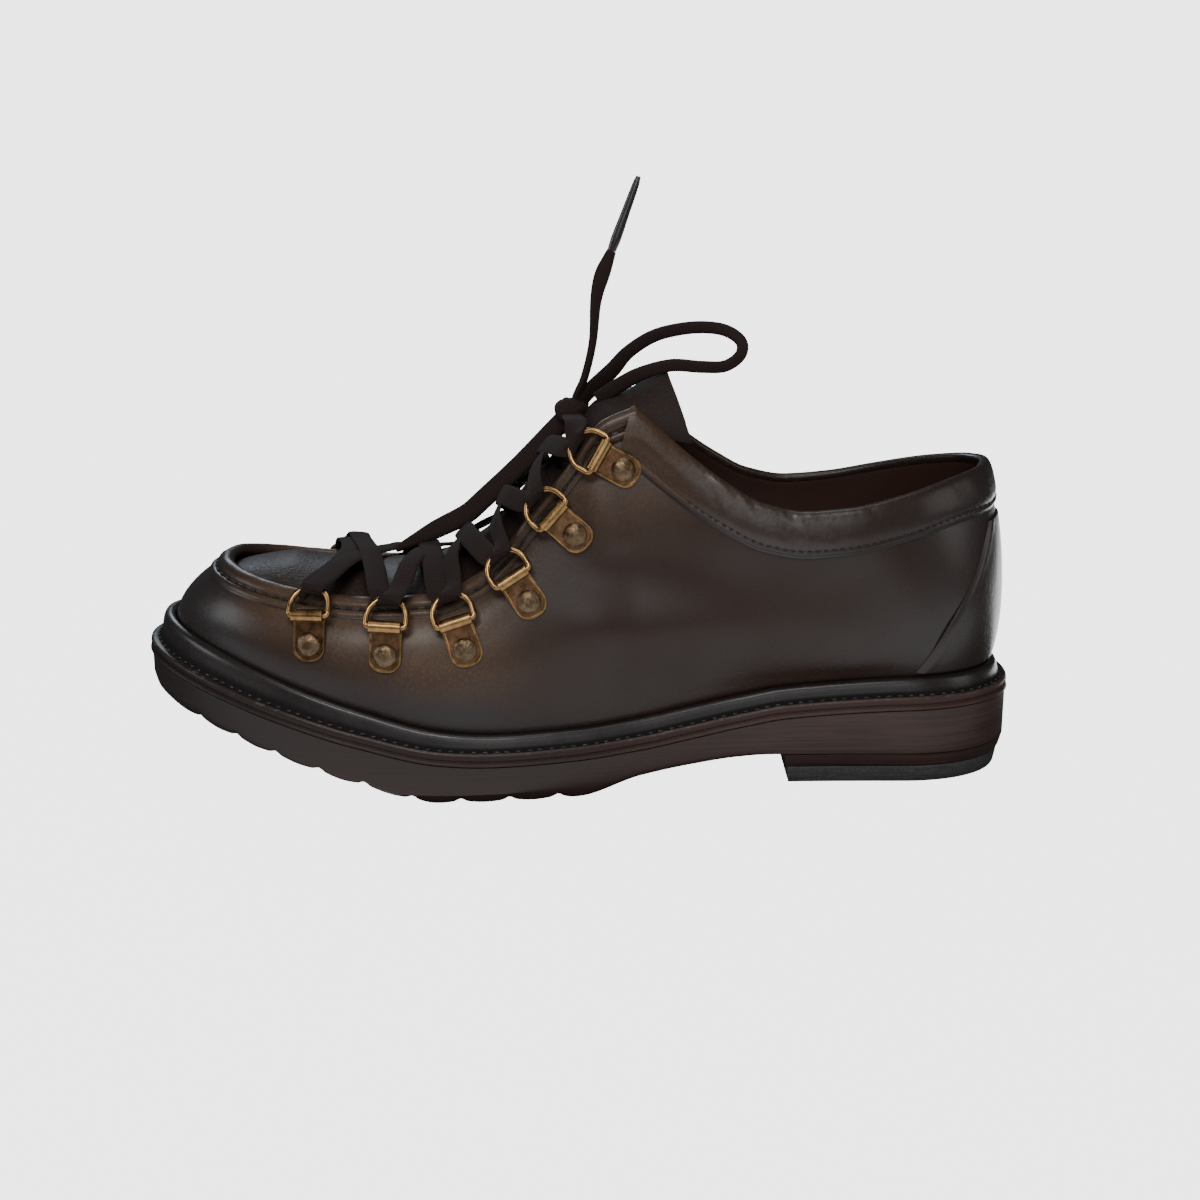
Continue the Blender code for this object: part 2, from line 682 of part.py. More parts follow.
def plate_mesh():
    """A strip with its end rolled round the bar of the ring, extruded across and rounded at its tail."""
    turns = [math.radians(degrees) for degrees in ROLL_DEGREES]
    profile = [Vector((0.0, -PLATE_TAIL, 0.0))]
    for radius, order in ((ROLL_RADIUS, turns), (ROLL_BORE, turns[::-1])):
        profile += [ROLL_CENTRE + radius * Vector((0.0, math.cos(t), math.sin(t))) for t in order]
    profile.append(Vector((0.0, -PLATE_TAIL, PLATE_METAL)))
    half = Vector((0.5 * PLATE_WIDTH, 0.0, 0.0))
    bm = bmesh.new()
    face = bm.faces.new([bm.verts.new((point - half) * MM) for point in profile])
    pulled = bmesh.ops.extrude_face_region(bm, geom=[face])["geom"]
    moved = [item for item in pulled if isinstance(item, bmesh.types.BMVert)]
    bmesh.ops.translate(bm, verts=moved, vec=half * (2.0 * MM))
    tail = (SLACK - PLATE_TAIL) * MM
    upright = [edge for edge in bm.edges if abs(edge.verts[0].co.x - edge.verts[1].co.x) < SLACK * MM]
    corners = [edge for edge in upright if all(vert.co.y < tail for vert in edge.verts)]
    bmesh.ops.bevel(bm, geom=corners, offset=PLATE_CORNER * MM, segments=3, profile=0.5, affect="EDGES")
    bmesh.ops.recalc_face_normals(bm, faces=bm.faces)
    mesh = bpy.data.meshes.new("ring_plate")
    bm.to_mesh(mesh)
    bm.free()
    return mesh


def rivet_mesh():
    turns = [TURN * i / RIVET_SIDES for i in range(RIVET_SIDES)]
    rings = []
    for share, height in RIVET_PROFILE:
        radius = share * RIVET_RADIUS
        rings.append([Vector((math.cos(t) * radius, math.sin(t) * radius, height)) for t in turns])
    return stack("rivet", rings)


def ring_path():
    """The middle of the ring's wire: a bar at the origin, two sides and a half round."""
    turns = spaced(0.0, math.pi, RING_STEPS)
    arc = [Vector((RING_HALF * math.cos(t), RING_SIDE + RING_HALF * math.sin(t), 0.0)) for t in turns]
    bar = RING_HALF - RING_CORNER
    foot = [Vector((-RING_HALF, RING_CORNER, 0.0)), Vector((-bar, 0.0, 0.0)),
            Vector((bar, 0.0, 0.0)), Vector((RING_HALF, RING_CORNER, 0.0))]
    return arc + foot


def ring_mesh():
    path = ring_path()
    turns = [TURN * k / RING_SIDES for k in range(RING_SIDES)]
    sections = []
    for i, point in enumerate(path):
        ahead = path[(i + 1) % len(path)] - path[i - 1]
        beside = ahead.cross(UP).normalized()
        sections.append([point + (beside * math.cos(t) + UP * math.sin(t)) * RING_WIRE for t in turns])
    return loft("lace_ring", sections, True)


def make_rings(frames):
    plate, rivet, ring = plate_mesh(), rivet_mesh(), ring_mesh()
    on_plate = Matrix.Translation(Vector((0.0, 0.0, PLATE_METAL + RIVET_CLEAR)) * MM)
    for label, plate_frame, ring_frame in frames:
        add_object(f"ring_plate_{label}", plate, brass(), plate_frame)
        add_object(f"rivet_{label}", rivet, brass(), plate_frame @ on_plate)
        add_object(f"lace_ring_{label}", ring, brass(), ring_frame)


def smooth_route(points, steps):
    """A smooth curve through the points of a route, with a number of steps between each two."""
    route = [Vector(point) for point in points]
    route = [2.0 * route[0] - route[1]] + route + [2.0 * route[-1] - route[-2]]
    curve = []
    for before, start, end, after in zip(route, route[1:], route[2:], route[3:]):
        controls = (start, start + (end - before) / 6.0, end - (after - start) / 6.0, end)
        curve += [cubic(controls, i / steps) for i in range(steps)]
    return curve + [route[-2]]


def add_cord(name, points, diameter):
    """A round tube with filled ends along a free stretch of the lace."""
    curve = bpy.data.curves.new(name, "CURVE")
    curve.dimensions = "3D"
    curve.bevel_depth = 0.5 * diameter * MM
    curve.bevel_resolution = 2
    curve.use_fill_caps = True
    spline = curve.splines.new("POLY")
    spline.points.add(len(points) - 1)
    for target, point in zip(spline.points, points):
        target.co = (*(point * MM), 1.0)
    curve.materials.append(lace_braid())
    bpy.context.scene.collection.objects.link(bpy.data.objects.new(name, curve))


def lace_eyes(frames):
    """Where the lace passes each ring: its strand on the toe side and its strand on the heel side."""
    eyes = {}
    places = [Vector((side * LACE_SPREAD, RING_SIDE + RING_HALF, 0.0)) for side in (-1.0, 1.0)]
    for label, _, ring_frame in frames:
        rise = UP * (INNER_DROP if label.startswith("inner") else 0.0)
        eyes[label] = sorted((ring_frame @ (place * MM) / MM + rise for place in places), key=lambda p: p.x)
    return eyes


def lace_strip(start, end, up, bow):
    """A flat strip between two points, bowed over the tongue."""
    points = [start.lerp(end, t) + up * (4.0 * bow * t * (1.0 - t)) for t in spaced(0.0, 1.0, LACE_STEPS)]
    sections = ribbon_sections(points, [up] * len(points), LACE_WIDTH, LACE_THICKNESS)
    return loft("lace_strip", sections, False)


def make_crossings(eyes):
    """Between each two pairs of rings, two strips that are joined where they cross."""
    for number, *_, bow in RING_ROWS[:-1]:
        near = [eyes[f"{label}_{number}"][1] for label in ("outer", "inner")]
        far = [eyes[f"{label}_{number + 1}"][0] for label in ("outer", "inner")]
        ahead = far[0] + far[1] - near[0] - near[1]
        up = Vector((-ahead.z, 0.0, ahead.x)).normalized()
        strips = []
        for start, end, step in ((near[0], far[1], 0.0), (near[1], far[0], 0.5 * LACE_THICKNESS)):
            short = (end - start).normalized() * LACE_CLEAR
            start = start + short + up * (LACE_OVER + step)
            end = end - short + up * (LACE_LEVEL + step)
            strips.append(lace_strip(start, end, up, bow))
        crossing = add_object(f"lace_crossing_{number}", strips[0], lace_braid())
        other = add_object(f"lace_upper_strip_{number}", strips[1], lace_braid())
        other.hide_render = True
        other.display_type = "WIRE"
        join = crossing.modifiers.new("join", "BOOLEAN")
        join.operation = "UNION"
        join.object = other


def make_free_lace(eyes):
    """The strips that tie the top rings, the strand over the middle, and the knot with its loop and end."""
    for label in ("outer", "inner"):
        start = eyes[f"{label}_{RING_COUNT}"][1]
        ahead = (KNOT_CENTRE - start).normalized()
        strip = lace_strip(start + ahead * LACE_CLEAR + UP * LACE_OVER,
                           KNOT_CENTRE - ahead * (max(KNOT_SIZE) + GAP), UP, 0.0)
        add_object(f"lace_tie_{label}", strip, lace_braid())
    bridge = smooth_route(BRIDGE_ROUTE, BRIDGE_STEPS)
    sections = ribbon_sections(bridge, [BRIDGE_FACES] * len(bridge), BRIDGE_WIDTH, LACE_THICKNESS)
    add_object("lace_bridge", loft("lace_bridge", sections, False), lace_braid())
    bm = bmesh.new()
    bmesh.ops.create_uvsphere(bm, u_segments=10, v_segments=6, radius=MM)
    bmesh.ops.scale(bm, vec=KNOT_SIZE, verts=bm.verts)
    bmesh.ops.translate(bm, vec=KNOT_CENTRE * MM, verts=bm.verts)
    knot = bpy.data.meshes.new("lace_knot")
    bm.to_mesh(knot)
    bm.free()
    add_object("lace_knot", knot, lace_braid())
    add_cord("lace_loop", smooth_route(LOOP_ROUTE, CORD_STEPS), LACE_CORD)
    end_curve = smooth_route(END_ROUTE, CORD_STEPS)
    add_cord("lace_end", end_curve, LACE_CORD)
    along = (AGLET_TIP - end_curve[-1]).normalized()
    add_cord("lace_aglet", [end_curve[-1] + along * (2.0 * GAP), AGLET_TIP], AGLET_DIAMETER)


def main():
    for piece in list(bpy.data.objects):
        bpy.data.objects.remove(piece, do_unlink=True)
    make_outsole()
    make_heel()
    make_welt()
    make_insole()
    make_upper()
    make_tongue()
    make_facing_rim()
    make_collar_band()
    make_heel_counter()
    frames = ring_frames()
    make_rings(frames)
    eyes = lace_eyes(frames)
    make_crossings(eyes)
    make_free_lace(eyes)


if __name__ == "__main__":
    main()
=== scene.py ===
"""Looks of a laced leather shoe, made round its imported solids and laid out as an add-on.

The shoe stands on z = 0 with its toe at -X and its outer side at -Y. Sizes in the tables are millimetres
and become metres when a mesh is made. Places along the shoe are stations, counted from the back of the
heel. Round the shoe they are angles: 0 at the heel, a half turn at the toe, outer side first.
"""

import math
import random
from functools import lru_cache

import bmesh
import bpy
from mathutils import Matrix, Vector, noise


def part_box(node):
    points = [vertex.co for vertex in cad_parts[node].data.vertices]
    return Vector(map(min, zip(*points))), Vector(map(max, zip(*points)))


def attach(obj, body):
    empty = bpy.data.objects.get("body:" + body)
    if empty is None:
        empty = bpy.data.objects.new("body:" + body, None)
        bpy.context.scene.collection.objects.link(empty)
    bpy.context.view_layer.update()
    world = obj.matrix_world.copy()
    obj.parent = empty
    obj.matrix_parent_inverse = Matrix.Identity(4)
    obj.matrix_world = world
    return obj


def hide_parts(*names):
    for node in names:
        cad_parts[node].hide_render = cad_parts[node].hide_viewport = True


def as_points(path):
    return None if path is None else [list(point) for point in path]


bl_info = {
    "name": "Laced Shoe Looks",
    "version": (1, 0, 0),
    "blender": (4, 5, 0),
    "location": "View3D > Sidebar > Shoe",
    "description": "Leather, sole, brass rings and lace of a shoe, built over its solids",
    "category": "Add Mesh",
}

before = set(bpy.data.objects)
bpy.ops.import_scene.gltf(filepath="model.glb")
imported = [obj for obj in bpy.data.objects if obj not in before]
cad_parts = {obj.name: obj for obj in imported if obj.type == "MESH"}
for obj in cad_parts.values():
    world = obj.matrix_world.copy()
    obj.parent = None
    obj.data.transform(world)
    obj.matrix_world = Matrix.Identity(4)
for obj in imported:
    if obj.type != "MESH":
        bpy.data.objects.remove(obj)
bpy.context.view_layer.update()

MM = 0.001
UP = Vector((0.0, 0.0, 1.0))
TURN = 2.0 * math.pi

# The shoe's own sizes
LENGTH = 300.0
WALL = 2.0
LINING = 0.6              # inner part of the wall
THROAT_STATION = 130.0
TOE_ROUND = 76.0
HEEL_ROUND = 40.0
ROUNDNESS = 2.2
WELT_WIDTH = 7.2
WELT_TOE_EXTRA = 2.0
WELT_TOE_POWER = 6
WELT_DEPTH = 4.5
SEAT = 0.6
GAP = 0.3
HEEL_LENGTH = 80.0
HEEL_BREAST_SLOPE = 1.5
HEEL_TAPER = 2.6
LIFT_HEIGHT = 6.0
LIFT_STEP = 0.5
SOLE_EDGE_STEP = 0.3
SOLE_BOTTOM_INSET = 1.6
SOLE_TOE_INSET = 4.4
SOLE_TOE_POWER = 8
LUG_STATIONS = (156.0, 172.0, 188.0, 204.0, 220.0, 235.0, 250.0, 264.0, 278.0)
LUG_GROOVE_HALF = 2.0
LUG_GROOVE_DEPTH = 2.0
LUG_GROOVE_REACH = 15.0
INSOLE_THICKNESS = 3.0
INSOLE_CUP = 0.8
TONGUE_THICKNESS = 2.4
TONGUE_CLEAR = 1.0
TONGUE_TUCK = 8.0
TONGUE_TOP_RISE = Vector((11.5, 0.0, 8.5))
TONGUE_SIDE_RUN = Vector((7.0, 0.0, -11.5))
BAND_FRONT_GAP = -0.012
PLATE_WIDTH = 10.6
PLATE_TAIL = 5.6
PLATE_REACH = 9.4
PLATE_METAL = 0.8
PLATE_CORNER = 4.4
PLATE_TILT = math.radians(9.0)
PLATE_STAND = 1.0         # plate above the leather
ROLL_BORE = 1.3
ROLL_RADIUS = ROLL_BORE + PLATE_METAL
ROLL_CENTRE = Vector((0.0, PLATE_REACH, ROLL_RADIUS))
RING_WIRE = 1.0
RING_HALF = 6.6
RING_SIDE = 3.4
RING_LEAN = {"outer": math.radians(24.0), "inner": math.radians(31.0)}
INNER_DROP = 2.0
RIVET_RADIUS = 3.75
LACE_CLEAR = 4.6
LACE_OVER = 2.6
LACE_LEVEL = 0.6
LACE_SPREAD = 2.8
LACE_HUMP = {"outer": -0.3, "inner": 0.8}
LACE_HUMP_SHARE = 0.18
KNOT_TUCK = 3.0           # of the lace into the knot

# Fineness
HALVINGS = 22
OUTLINE_STEP = 0.03
WALL_STEP = 0.012
MERGE = 2e-6              # metres


class Table:
    """Rows of named columns, read between its rows by a monotone cubic."""

    def __init__(self, names, *rows):
        self.keys = [row[0] for row in rows]
        self.columns = {}
        for place, name in enumerate(names.split()):
            values = [row[place] for row in rows]
            self.columns[name] = (values, self.tangents(values))

    def tangents(self, values):
        keys = self.keys
        slopes = [(values[i + 1] - values[i]) / (keys[i + 1] - keys[i]) for i in range(len(keys) - 1)]
        inner = [2.0 * a * b / (a + b) if a * b > 0.0 else 0.0 for a, b in zip(slopes, slopes[1:])]
        return slopes[:1] + inner + slopes[-1:]

    def at(self, key, name):
        values, tangents = self.columns[name]
        last = len(values) - 1
        key = min(max(key, self.keys[0]), self.keys[last])
        low = max(i for i in range(last) if self.keys[i] <= key)
        width = self.keys[low + 1] - self.keys[low]
        t = (key - self.keys[low]) / width
        rise = t * t * (3.0 - 2.0 * t)
        ease_in = t * (1.0 - t) ** 2
        ease_out = t * t * (t - 1.0)
        return (values[low] * (1.0 - rise) + values[low + 1] * rise
                + width * (ease_in * tangents[low] + ease_out * tangents[low + 1]))


def angle_of(station):
    return math.acos(1.0 - 2.0 * station / LENGTH)


def station_of(angle):
    return 0.5 * LENGTH * (1.0 - math.cos(angle))


THROAT = angle_of(THROAT_STATION)

# Sole: centre line and half width of its outline, height of the welt's ridge, its rib above that, underside
SOLE = Table(
    "station centre half edge rib bottom",
    (0.0, 0.0, 33.5, 31.7, 4.8, 11.0),
    (40.0, 0.0, 34.2, 30.8, 4.8, 11.0),
    (80.0, -1.4, 33.4, 28.2, 4.6, 11.0),
    (96.0, -2.6, 33.6, 25.5, 4.6, 10.2),
    (112.0, -3.6, 35.0, 22.5, 4.6, 8.4),
    (129.0, -4.2, 37.6, 19.6, 4.4, 5.6),
    (150.0, -4.0, 42.5, 17.6, 4.2, 0.0),
    (176.0, -3.0, 48.0, 16.9, 4.2, 0.0),
    (196.0, -1.8, 50.6, 18.0, 4.8, 0.0),
    (222.0, 0.4, 51.0, 23.4, 6.0, 5.8),
    (248.0, 2.2, 50.0, 30.4, 7.2, 13.6),
    (272.0, 3.6, 47.5, 36.9, 8.4, 20.4),
    (300.0, 5.0, 44.0, 44.5, 9.4, 27.0),
)

# Upper behind the throat: top line, how the wall leaves the welt and reaches the top, width of the band
BACK_ROWS = (
    (0.0, 11.0, 0.0, 105.6, 17.0, 5.8, 21.0, 7.0, 13.5),
    (5.0, 14.2, 11.5, 104.8, 17.0, 6.6, 21.0, 6.6, 13.5),
    (20.0, 26.6, 22.6, 102.2, 17.0, 8.8, 20.0, 5.2, 13.5),
    (40.0, 44.6, 31.0, 97.8, 16.0, 9.5, 19.0, 4.0, 13.5),
    (58.0, 61.0, 33.6, 94.6, 16.0, 9.0, 18.0, 3.8, 13.5),
    (73.0, 76.0, 33.8, 93.6, 17.0, 8.0, 18.0, 4.0, 13.5),
    (87.0, 89.5, 32.8, 96.3, 19.0, 7.0, 20.0, 5.0, 14.0),
    (100.0, 101.0, 30.6, 102.5, 21.0, 6.5, 23.0, 6.0, 15.0),
    (113.0, 113.0, 27.2, 111.0, 23.0, 6.0, 26.0, 7.0, 16.5),
    (130.0, 131.0, 23.0, 126.5, 24.0, 5.6, 30.0, 8.5, 19.0),
)

# Upper before the throat: the same columns, with the reach of the tongue's arch instead of the band
FRONT_ROWS = (
    (130.0, 131.0, 23.0, 126.5, 24.0, 5.6, 30.0, 8.5, 13.0),
    (143.0, 142.2, 24.0, 121.6, 23.0, 5.6, 30.0, 9.0, 12.5),
    (152.0, 149.4, 25.0, 112.0, 22.0, 5.6, 28.0, 9.5, 12.5),
    (161.0, 157.0, 26.0, 101.8, 20.0, 5.8, 25.0, 10.5, 13.5),
    (170.0, 164.6, 27.0, 92.4, 18.0, 6.0, 21.0, 11.5, 16.0),
    (178.0, 171.5, 28.2, 83.0, 16.0, 6.2, 17.0, 12.5, 18.0),
    (190.0, 182.5, 30.0, 72.0, 13.0, 6.2, 12.0, 13.5, 21.5),
    (205.0, 198.0, 31.0, 65.4, 11.0, 5.6, 8.0, 13.5, 23.0),
    (227.0, 219.0, 31.0, 63.8, 11.0, 5.0, 6.0, 12.0, 24.0),
    (250.0, 240.0, 29.0, 65.2, 10.0, 4.0, 5.0, 11.0, 23.0),
    (268.0, 253.0, 25.4, 67.2, 9.5, 2.6, 5.0, 10.5, 22.0),
    (287.0, 264.0, 18.0, 69.6, 8.5, 1.0, 5.0, 10.5, 16.0),
    (297.0, 269.6, 9.4, 71.2, 8.0, -0.4, 5.0, 10.5, 8.0),
    (300.0, 271.0, 0.0, 71.6, 8.0, -0.8, 5.0, 10.5, 4.0),
)

# Lace rings: number, place of the rivet and of the ring's middle, bow of the lace that goes on from it
RING_ROWS = (
    (1, 237.2, 51.3, 236.2, 61.8, 3.5),
    (2, 212.1, 48.6, 211.1, 60.0, 7.0),
    (3, 186.0, 51.0, 190.0, 62.0, 7.0),
    (4, 165.5, 66.0, 172.0, 75.0, 5.0),
    (5, 150.5, 87.0, 159.0, 94.0, 2.6),
    (6, 135.0, 107.6, 145.0, 113.0, 0.0),
)
RING_COUNT = len(RING_ROWS)

# Welt: share of the width inwards, height above the ridge, share of the rib's height
WELT_PROFILE = (
    (0.04, -4.5, 0.0), (0.00, -3.5, 0.0), (0.09, -2.8, 0.0), (0.00, -2.1, 0.0),
    (0.02, -0.5, 0.0), (0.14, 0.1, 0.0), (0.31, -0.9, 0.16), (0.43, -0.6, 0.42),
    (0.52, 0.0, 0.82), (0.66, 0.3, 1.02), (0.97, -0.3, 1.02), (0.98, -4.5, 0.0),
)

# Facing rim: distance below the rim and height above the upper, round its rolled edge, groove and band
RIM_PROFILE = (
    (3.0, -2.5), (0.4, -2.6), (-0.9, -1.9), (-1.3, -0.7), (-1.0, 0.6), (0.0, 1.5), (1.4, 1.9),
    (2.8, 1.7), (3.9, 1.2), (4.5, 0.5), (5.1, 0.4), (5.7, 0.8), (6.5, 0.9), (7.3, 0.65),
    (7.8, 0.3), (8.2, 0.14), (4.0, 0.1), (1.0, 0.1), (0.1, -0.6), (0.3, -1.6),
)

# Collar band: share of its width below the top line, height above the upper. The rows just past 1.0 make a
# thin flange on the upper that carries the band's painted shadow.
BAND_PROFILE = (
    (0.10, -2.3), (-0.03, -2.2), (-0.075, -1.4), (-0.08, -0.4), (-0.06, 0.6), (0.02, 1.25), (0.16, 1.65),
    (0.4, 1.8), (0.65, 1.7), (0.8, 1.35), (0.86, 0.95), (0.90, 0.9), (0.95, 1.0), (1.0, 0.75), (1.012, 0.3),
    (1.045, 0.16), (1.03, 0.08), (0.5, 0.1), (0.06, 0.1), (0.01, -0.5), (0.03, -1.6),
)

# Back strap: share of the wall's height, and the station at which the strap ends there
STRAP = Table("share station", (0.06, 36.0), (0.30, 26.0), (0.55, 14.0), (0.75, 7.0))

# Soft troughs and ridges of the upper: start and end (station, height), width and rise
CREASE_ROWS = (
    (150.0, 78.0, 62.0, 70.0, 13.0, -1.3),
    (142.0, 55.0, 58.0, 47.0, 12.0, 1.8),
    (143.0, 99.0, 137.0, 86.0, 6.0, 0.9),
    (40.0, 86.0, 26.0, 52.0, 7.0, -0.5),
)

# Free lace, listed points: the loop, the standing end and the strand over the middle
KNOT_CENTRE = Vector((-2.0, -4.0, 122.0))
KNOT_SIZE = Vector((6.0, 5.4, 5.6))
LOOP_ROUTE = (
    (0.6, -3.0, 125.4), (4.6, -1.0, 129.6), (11.6, -1.0, 136.0), (17.0, -1.0, 142.0),
    (25.0, -1.0, 147.2), (33.5, -1.0, 149.6), (42.0, -1.4, 150.4), (49.6, -2.4, 149.4),
    (54.6, -4.6, 146.0), (54.2, -7.4, 141.8), (49.0, -9.4, 138.4), (41.0, -11.4, 138.4),
    (31.0, -12.0, 139.0), (21.0, -10.6, 136.0), (13.0, -8.6, 131.4), (6.8, -6.8, 127.0),
)
END_ROUTE = (
    (-1.2, -4.0, 124.6), (0.0, -4.0, 128.4), (2.6, -4.0, 134.6), (5.2, -4.2, 146.0),
    (6.2, -4.6, 159.0), (8.0, -4.4, 167.0), (11.4, -4.0, 175.6),
)
AGLET_TIP = Vector((20.2, -3.0, 199.4))
BRIDGE_ROUTE = (
    (-63.0, 0.0, 73.9), (-50.0, 0.0, 80.5), (-38.7, -0.5, 86.4), (-32.7, -1.0, 91.6),
    (-19.8, -2.0, 103.8), (-6.6, -3.4, 117.6), (-3.0, -4.0, 121.0),
)


def angle_table(names, rows, mirror_row):
    """A table on angles, with the row beside the heel or toe mirrored past it to keep the end smooth."""
    turned = [(angle_of(row[0]),) + row[1:] for row in rows]
    near = turned[mirror_row]
    pivot = 0.0 if mirror_row == 1 else math.pi
    turned.append((2.0 * pivot - near[0], near[1], -near[2]) + near[3:])
    return Table(names, *sorted(turned))


BACK = angle_table("angle station half height rise spread drop lean band", BACK_ROWS, 1)
FRONT = angle_table("angle station half height rise spread drop lean reach", FRONT_ROWS, -2)


def spaced(start, end, steps):
    return [start + (end - start) * i / steps for i in range(steps + 1)]


def round_turns(count):
    return [TURN * k / count for k in range(count)]


def clamp(value):
    return min(1.0, max(0.0, value))


def bell(distance, width):
    return math.exp(-(distance / width) ** 2)


def bisected(low, high, is_short):
    """The value between low and high at which is_short turns false."""
    for _ in range(HALVINGS):
        middle = 0.5 * (low + high)
        if is_short(middle):
            low = middle
        else:
            high = middle
    return high


def side_of(angle):
    return -1.0 if math.sin(angle) >= 0.0 else 1.0


def end_rounding(station):
    toe = max(0.0, (station - LENGTH + TOE_ROUND) / TOE_ROUND)
    heel = max(0.0, (HEEL_ROUND - station) / HEEL_ROUND)
    past = min(1.0, max(toe, heel))
    return (1.0 - past ** ROUNDNESS) ** (1.0 / ROUNDNESS)


def sole_edge(angle):
    """The sole's outline, seen from above."""
    station = station_of(angle)
    half = SOLE.at(station, "half") * end_rounding(station)
    return Vector((0.5 * LENGTH - station, SOLE.at(station, "centre") + side_of(angle) * half, 0.0))


@lru_cache(maxsize=None)
def inward(angle):
    along = sole_edge(angle + OUTLINE_STEP) - sole_edge(angle - OUTLINE_STEP)
    return Vector((along.y, -along.x, 0.0)).normalized()


OUTLINE_SIDES = [sole_edge(angle).y for angle in spaced(0.0, TURN, 720)]
OUTLINE_MIDDLE = 0.5 * (min(OUTLINE_SIDES) + max(OUTLINE_SIDES))
SIDE_SHIFT = sum(corner.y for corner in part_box("outsole")) / (2.0 * MM) - OUTLINE_MIDDLE


def sole_point(angle, inset, column="edge", height=0.0):
    """A point inside the outline, at a height above one of the sole's columns."""
    point = sole_edge(angle) + inward(angle) * inset
    point.y += SIDE_SHIFT
    point.z = SOLE.at(0.5 * LENGTH - point.x, column) + height
    return point


def welt_width(angle):
    return WELT_WIDTH + WELT_TOE_EXTRA * max(0.0, -math.cos(angle)) ** WELT_TOE_POWER


@lru_cache(maxsize=None)
def wall_controls(angle):
    """Four control points of the wall, from the welt's rib to the rim or the top line."""
    folded = angle % TURN
    folded = min(folded, TURN - folded)
    table = BACK if folded < THROAT else FRONT
    out = -inward(angle)
    foot = sole_point(angle, welt_width(angle))
    foot.z += SOLE.at(0.5 * LENGTH - foot.x, "rib") - SEAT
    station = table.at(folded, "station")
    middle = SOLE.at(station, "centre") + SIDE_SHIFT
    top = Vector((0.5 * LENGTH - station, middle + side_of(angle) * table.at(folded, "half"),
                  table.at(folded, "height")))
    leave = foot + out * table.at(folded, "spread") + UP * table.at(folded, "rise")
    reach = top + out * table.at(folded, "lean") - UP * table.at(folded, "drop")
    return foot, leave, reach, top


def cubic(controls, t):
    a, b, c, d = controls
    s = 1.0 - t
    return a * s ** 3 + b * (3.0 * s * s * t) + c * (3.0 * s * t * t) + d * t ** 3


def wall(angle, share):
    """The outer face of the upper."""
    return cubic(wall_controls(angle), share)


def wall_frame(angle, share):
    """Unit vectors up the wall and out of it."""
    low, high = max(0.0, share - WALL_STEP), min(1.0, share + WALL_STEP)
    up_wall = (wall(angle, high) - wall(angle, low)).normalized()
    along = wall(angle + WALL_STEP, share) - wall(angle - WALL_STEP, share)
    return up_wall, up_wall.cross(along).normalized()


def skin(angle, share, offset):
    """A point at an offset from the outer face of the upper."""
    return wall(angle, share) + wall_frame(angle, share)[1] * offset


@lru_cache(maxsize=None)
def share_below(angle, distance):
    """The share of the wall's height that lies a distance below its rim."""
    top = wall(angle, 1.0)
    return bisected(0.0, 1.0, lambda share: (top - wall(angle, share)).length > distance)


def near_rim(angle, distance, height):
    """A point a distance below the rim, or above it where that is negative, and a height off the wall."""
    if distance < 0.0:
        up_wall, normal = wall_frame(angle, 1.0)
        return wall(angle, 1.0) - up_wall * distance + normal * height
    return skin(angle, share_below(angle, distance), height)


def place_on_wall(side, station, height):
    """Angle and share of the place on a side that has this station and height."""
    def share_at(angle):
        return bisected(0.0, 1.0, lambda share: wall(angle, share).z < height)

    def is_short(angle):
        return 0.5 * LENGTH - wall(angle, share_at(angle)).x < station

    angle = bisected(0.5 * THROAT, math.pi, is_short)
    return (angle if side < 0.0 else TURN - angle), share_at(angle)


def smooth_route(points, steps, closed=False):
    """A smooth curve through the points of a route, with a number of steps between each two."""
    route = [Vector(point) for point in points]
    if closed:
        route = [route[-1]] + route + route[:2]
    else:
        route = [2.0 * route[0] - route[1]] + route + [2.0 * route[-1] - route[-2]]
    curve = []
    for before, start, end, after in zip(route, route[1:], route[2:], route[3:]):
        controls = (start, start + (end - before) / 6.0, end - (after - start) / 6.0, end)
        curve += [cubic(controls, i / steps) for i in range(steps)]
    return curve if closed else curve + [route[-2]]


def colour_property(name, description, default):
    return bpy.props.FloatVectorProperty(name=name, description=description, subtype="COLOR", size=3,
                                         default=default, min=0.0, max=1.0)


def length_property(name, description, millimetres):
    return bpy.props.FloatProperty(name=name, description=description, default=millimetres * MM,
                                   min=0.0, unit="LENGTH", precision=5)


class ShoeColours(bpy.types.PropertyGroup):
    """Colours of the shoe's materials, as linear values."""

    # leather_light is also the painted light on the upper part of the facing
    leather_light: colour_property("Leather, light", "Rubbed part of the leather", (0.066, 0.037, 0.020))
    leather_mid: colour_property("Leather, middle", "Most of the leather", (0.0220, 0.0112, 0.0074))
    leather_dark: colour_property("Leather, dark", "Burnished toe and heel", (0.0170, 0.0125, 0.0118))
    lining: colour_property("Lining", "Leather inside the shoe", (0.034, 0.013, 0.008))
    welt: colour_property("Welt", "Welt round the sole", (0.010, 0.0075, 0.0070))
    sole: colour_property("Sole", "Rubber of sole and heel", (0.048, 0.0268, 0.0218))
    lift: colour_property("Top lift", "Rubber under the heel", (0.040, 0.040, 0.042))
    brass: colour_property("Brass", "Rings, rolls and rivets", (0.37, 0.215, 0.090))
    copper: colour_property("Copper tone", "Flat of the ring plates", (0.215, 0.115, 0.059))
    rivet: colour_property("Rivet", "Hammered heads", (0.185, 0.126, 0.074))
    lace: colour_property("Lace", "Flat braid", (0.0185, 0.0112, 0.0098))
    # The thread colour is also the painted shade in the rim's groove, along the rim's outer edge and under
    # the band's lower edge.
    thread: colour_property("Thread", "Seams of the upper", (0.012, 0.009, 0.008))
    welt_thread: colour_property("Welt thread", "Stitches in the welt", (0.052, 0.047, 0.043))
    floor: colour_property("Floor", "Ground and backdrop", (0.08, 0.08, 0.08))


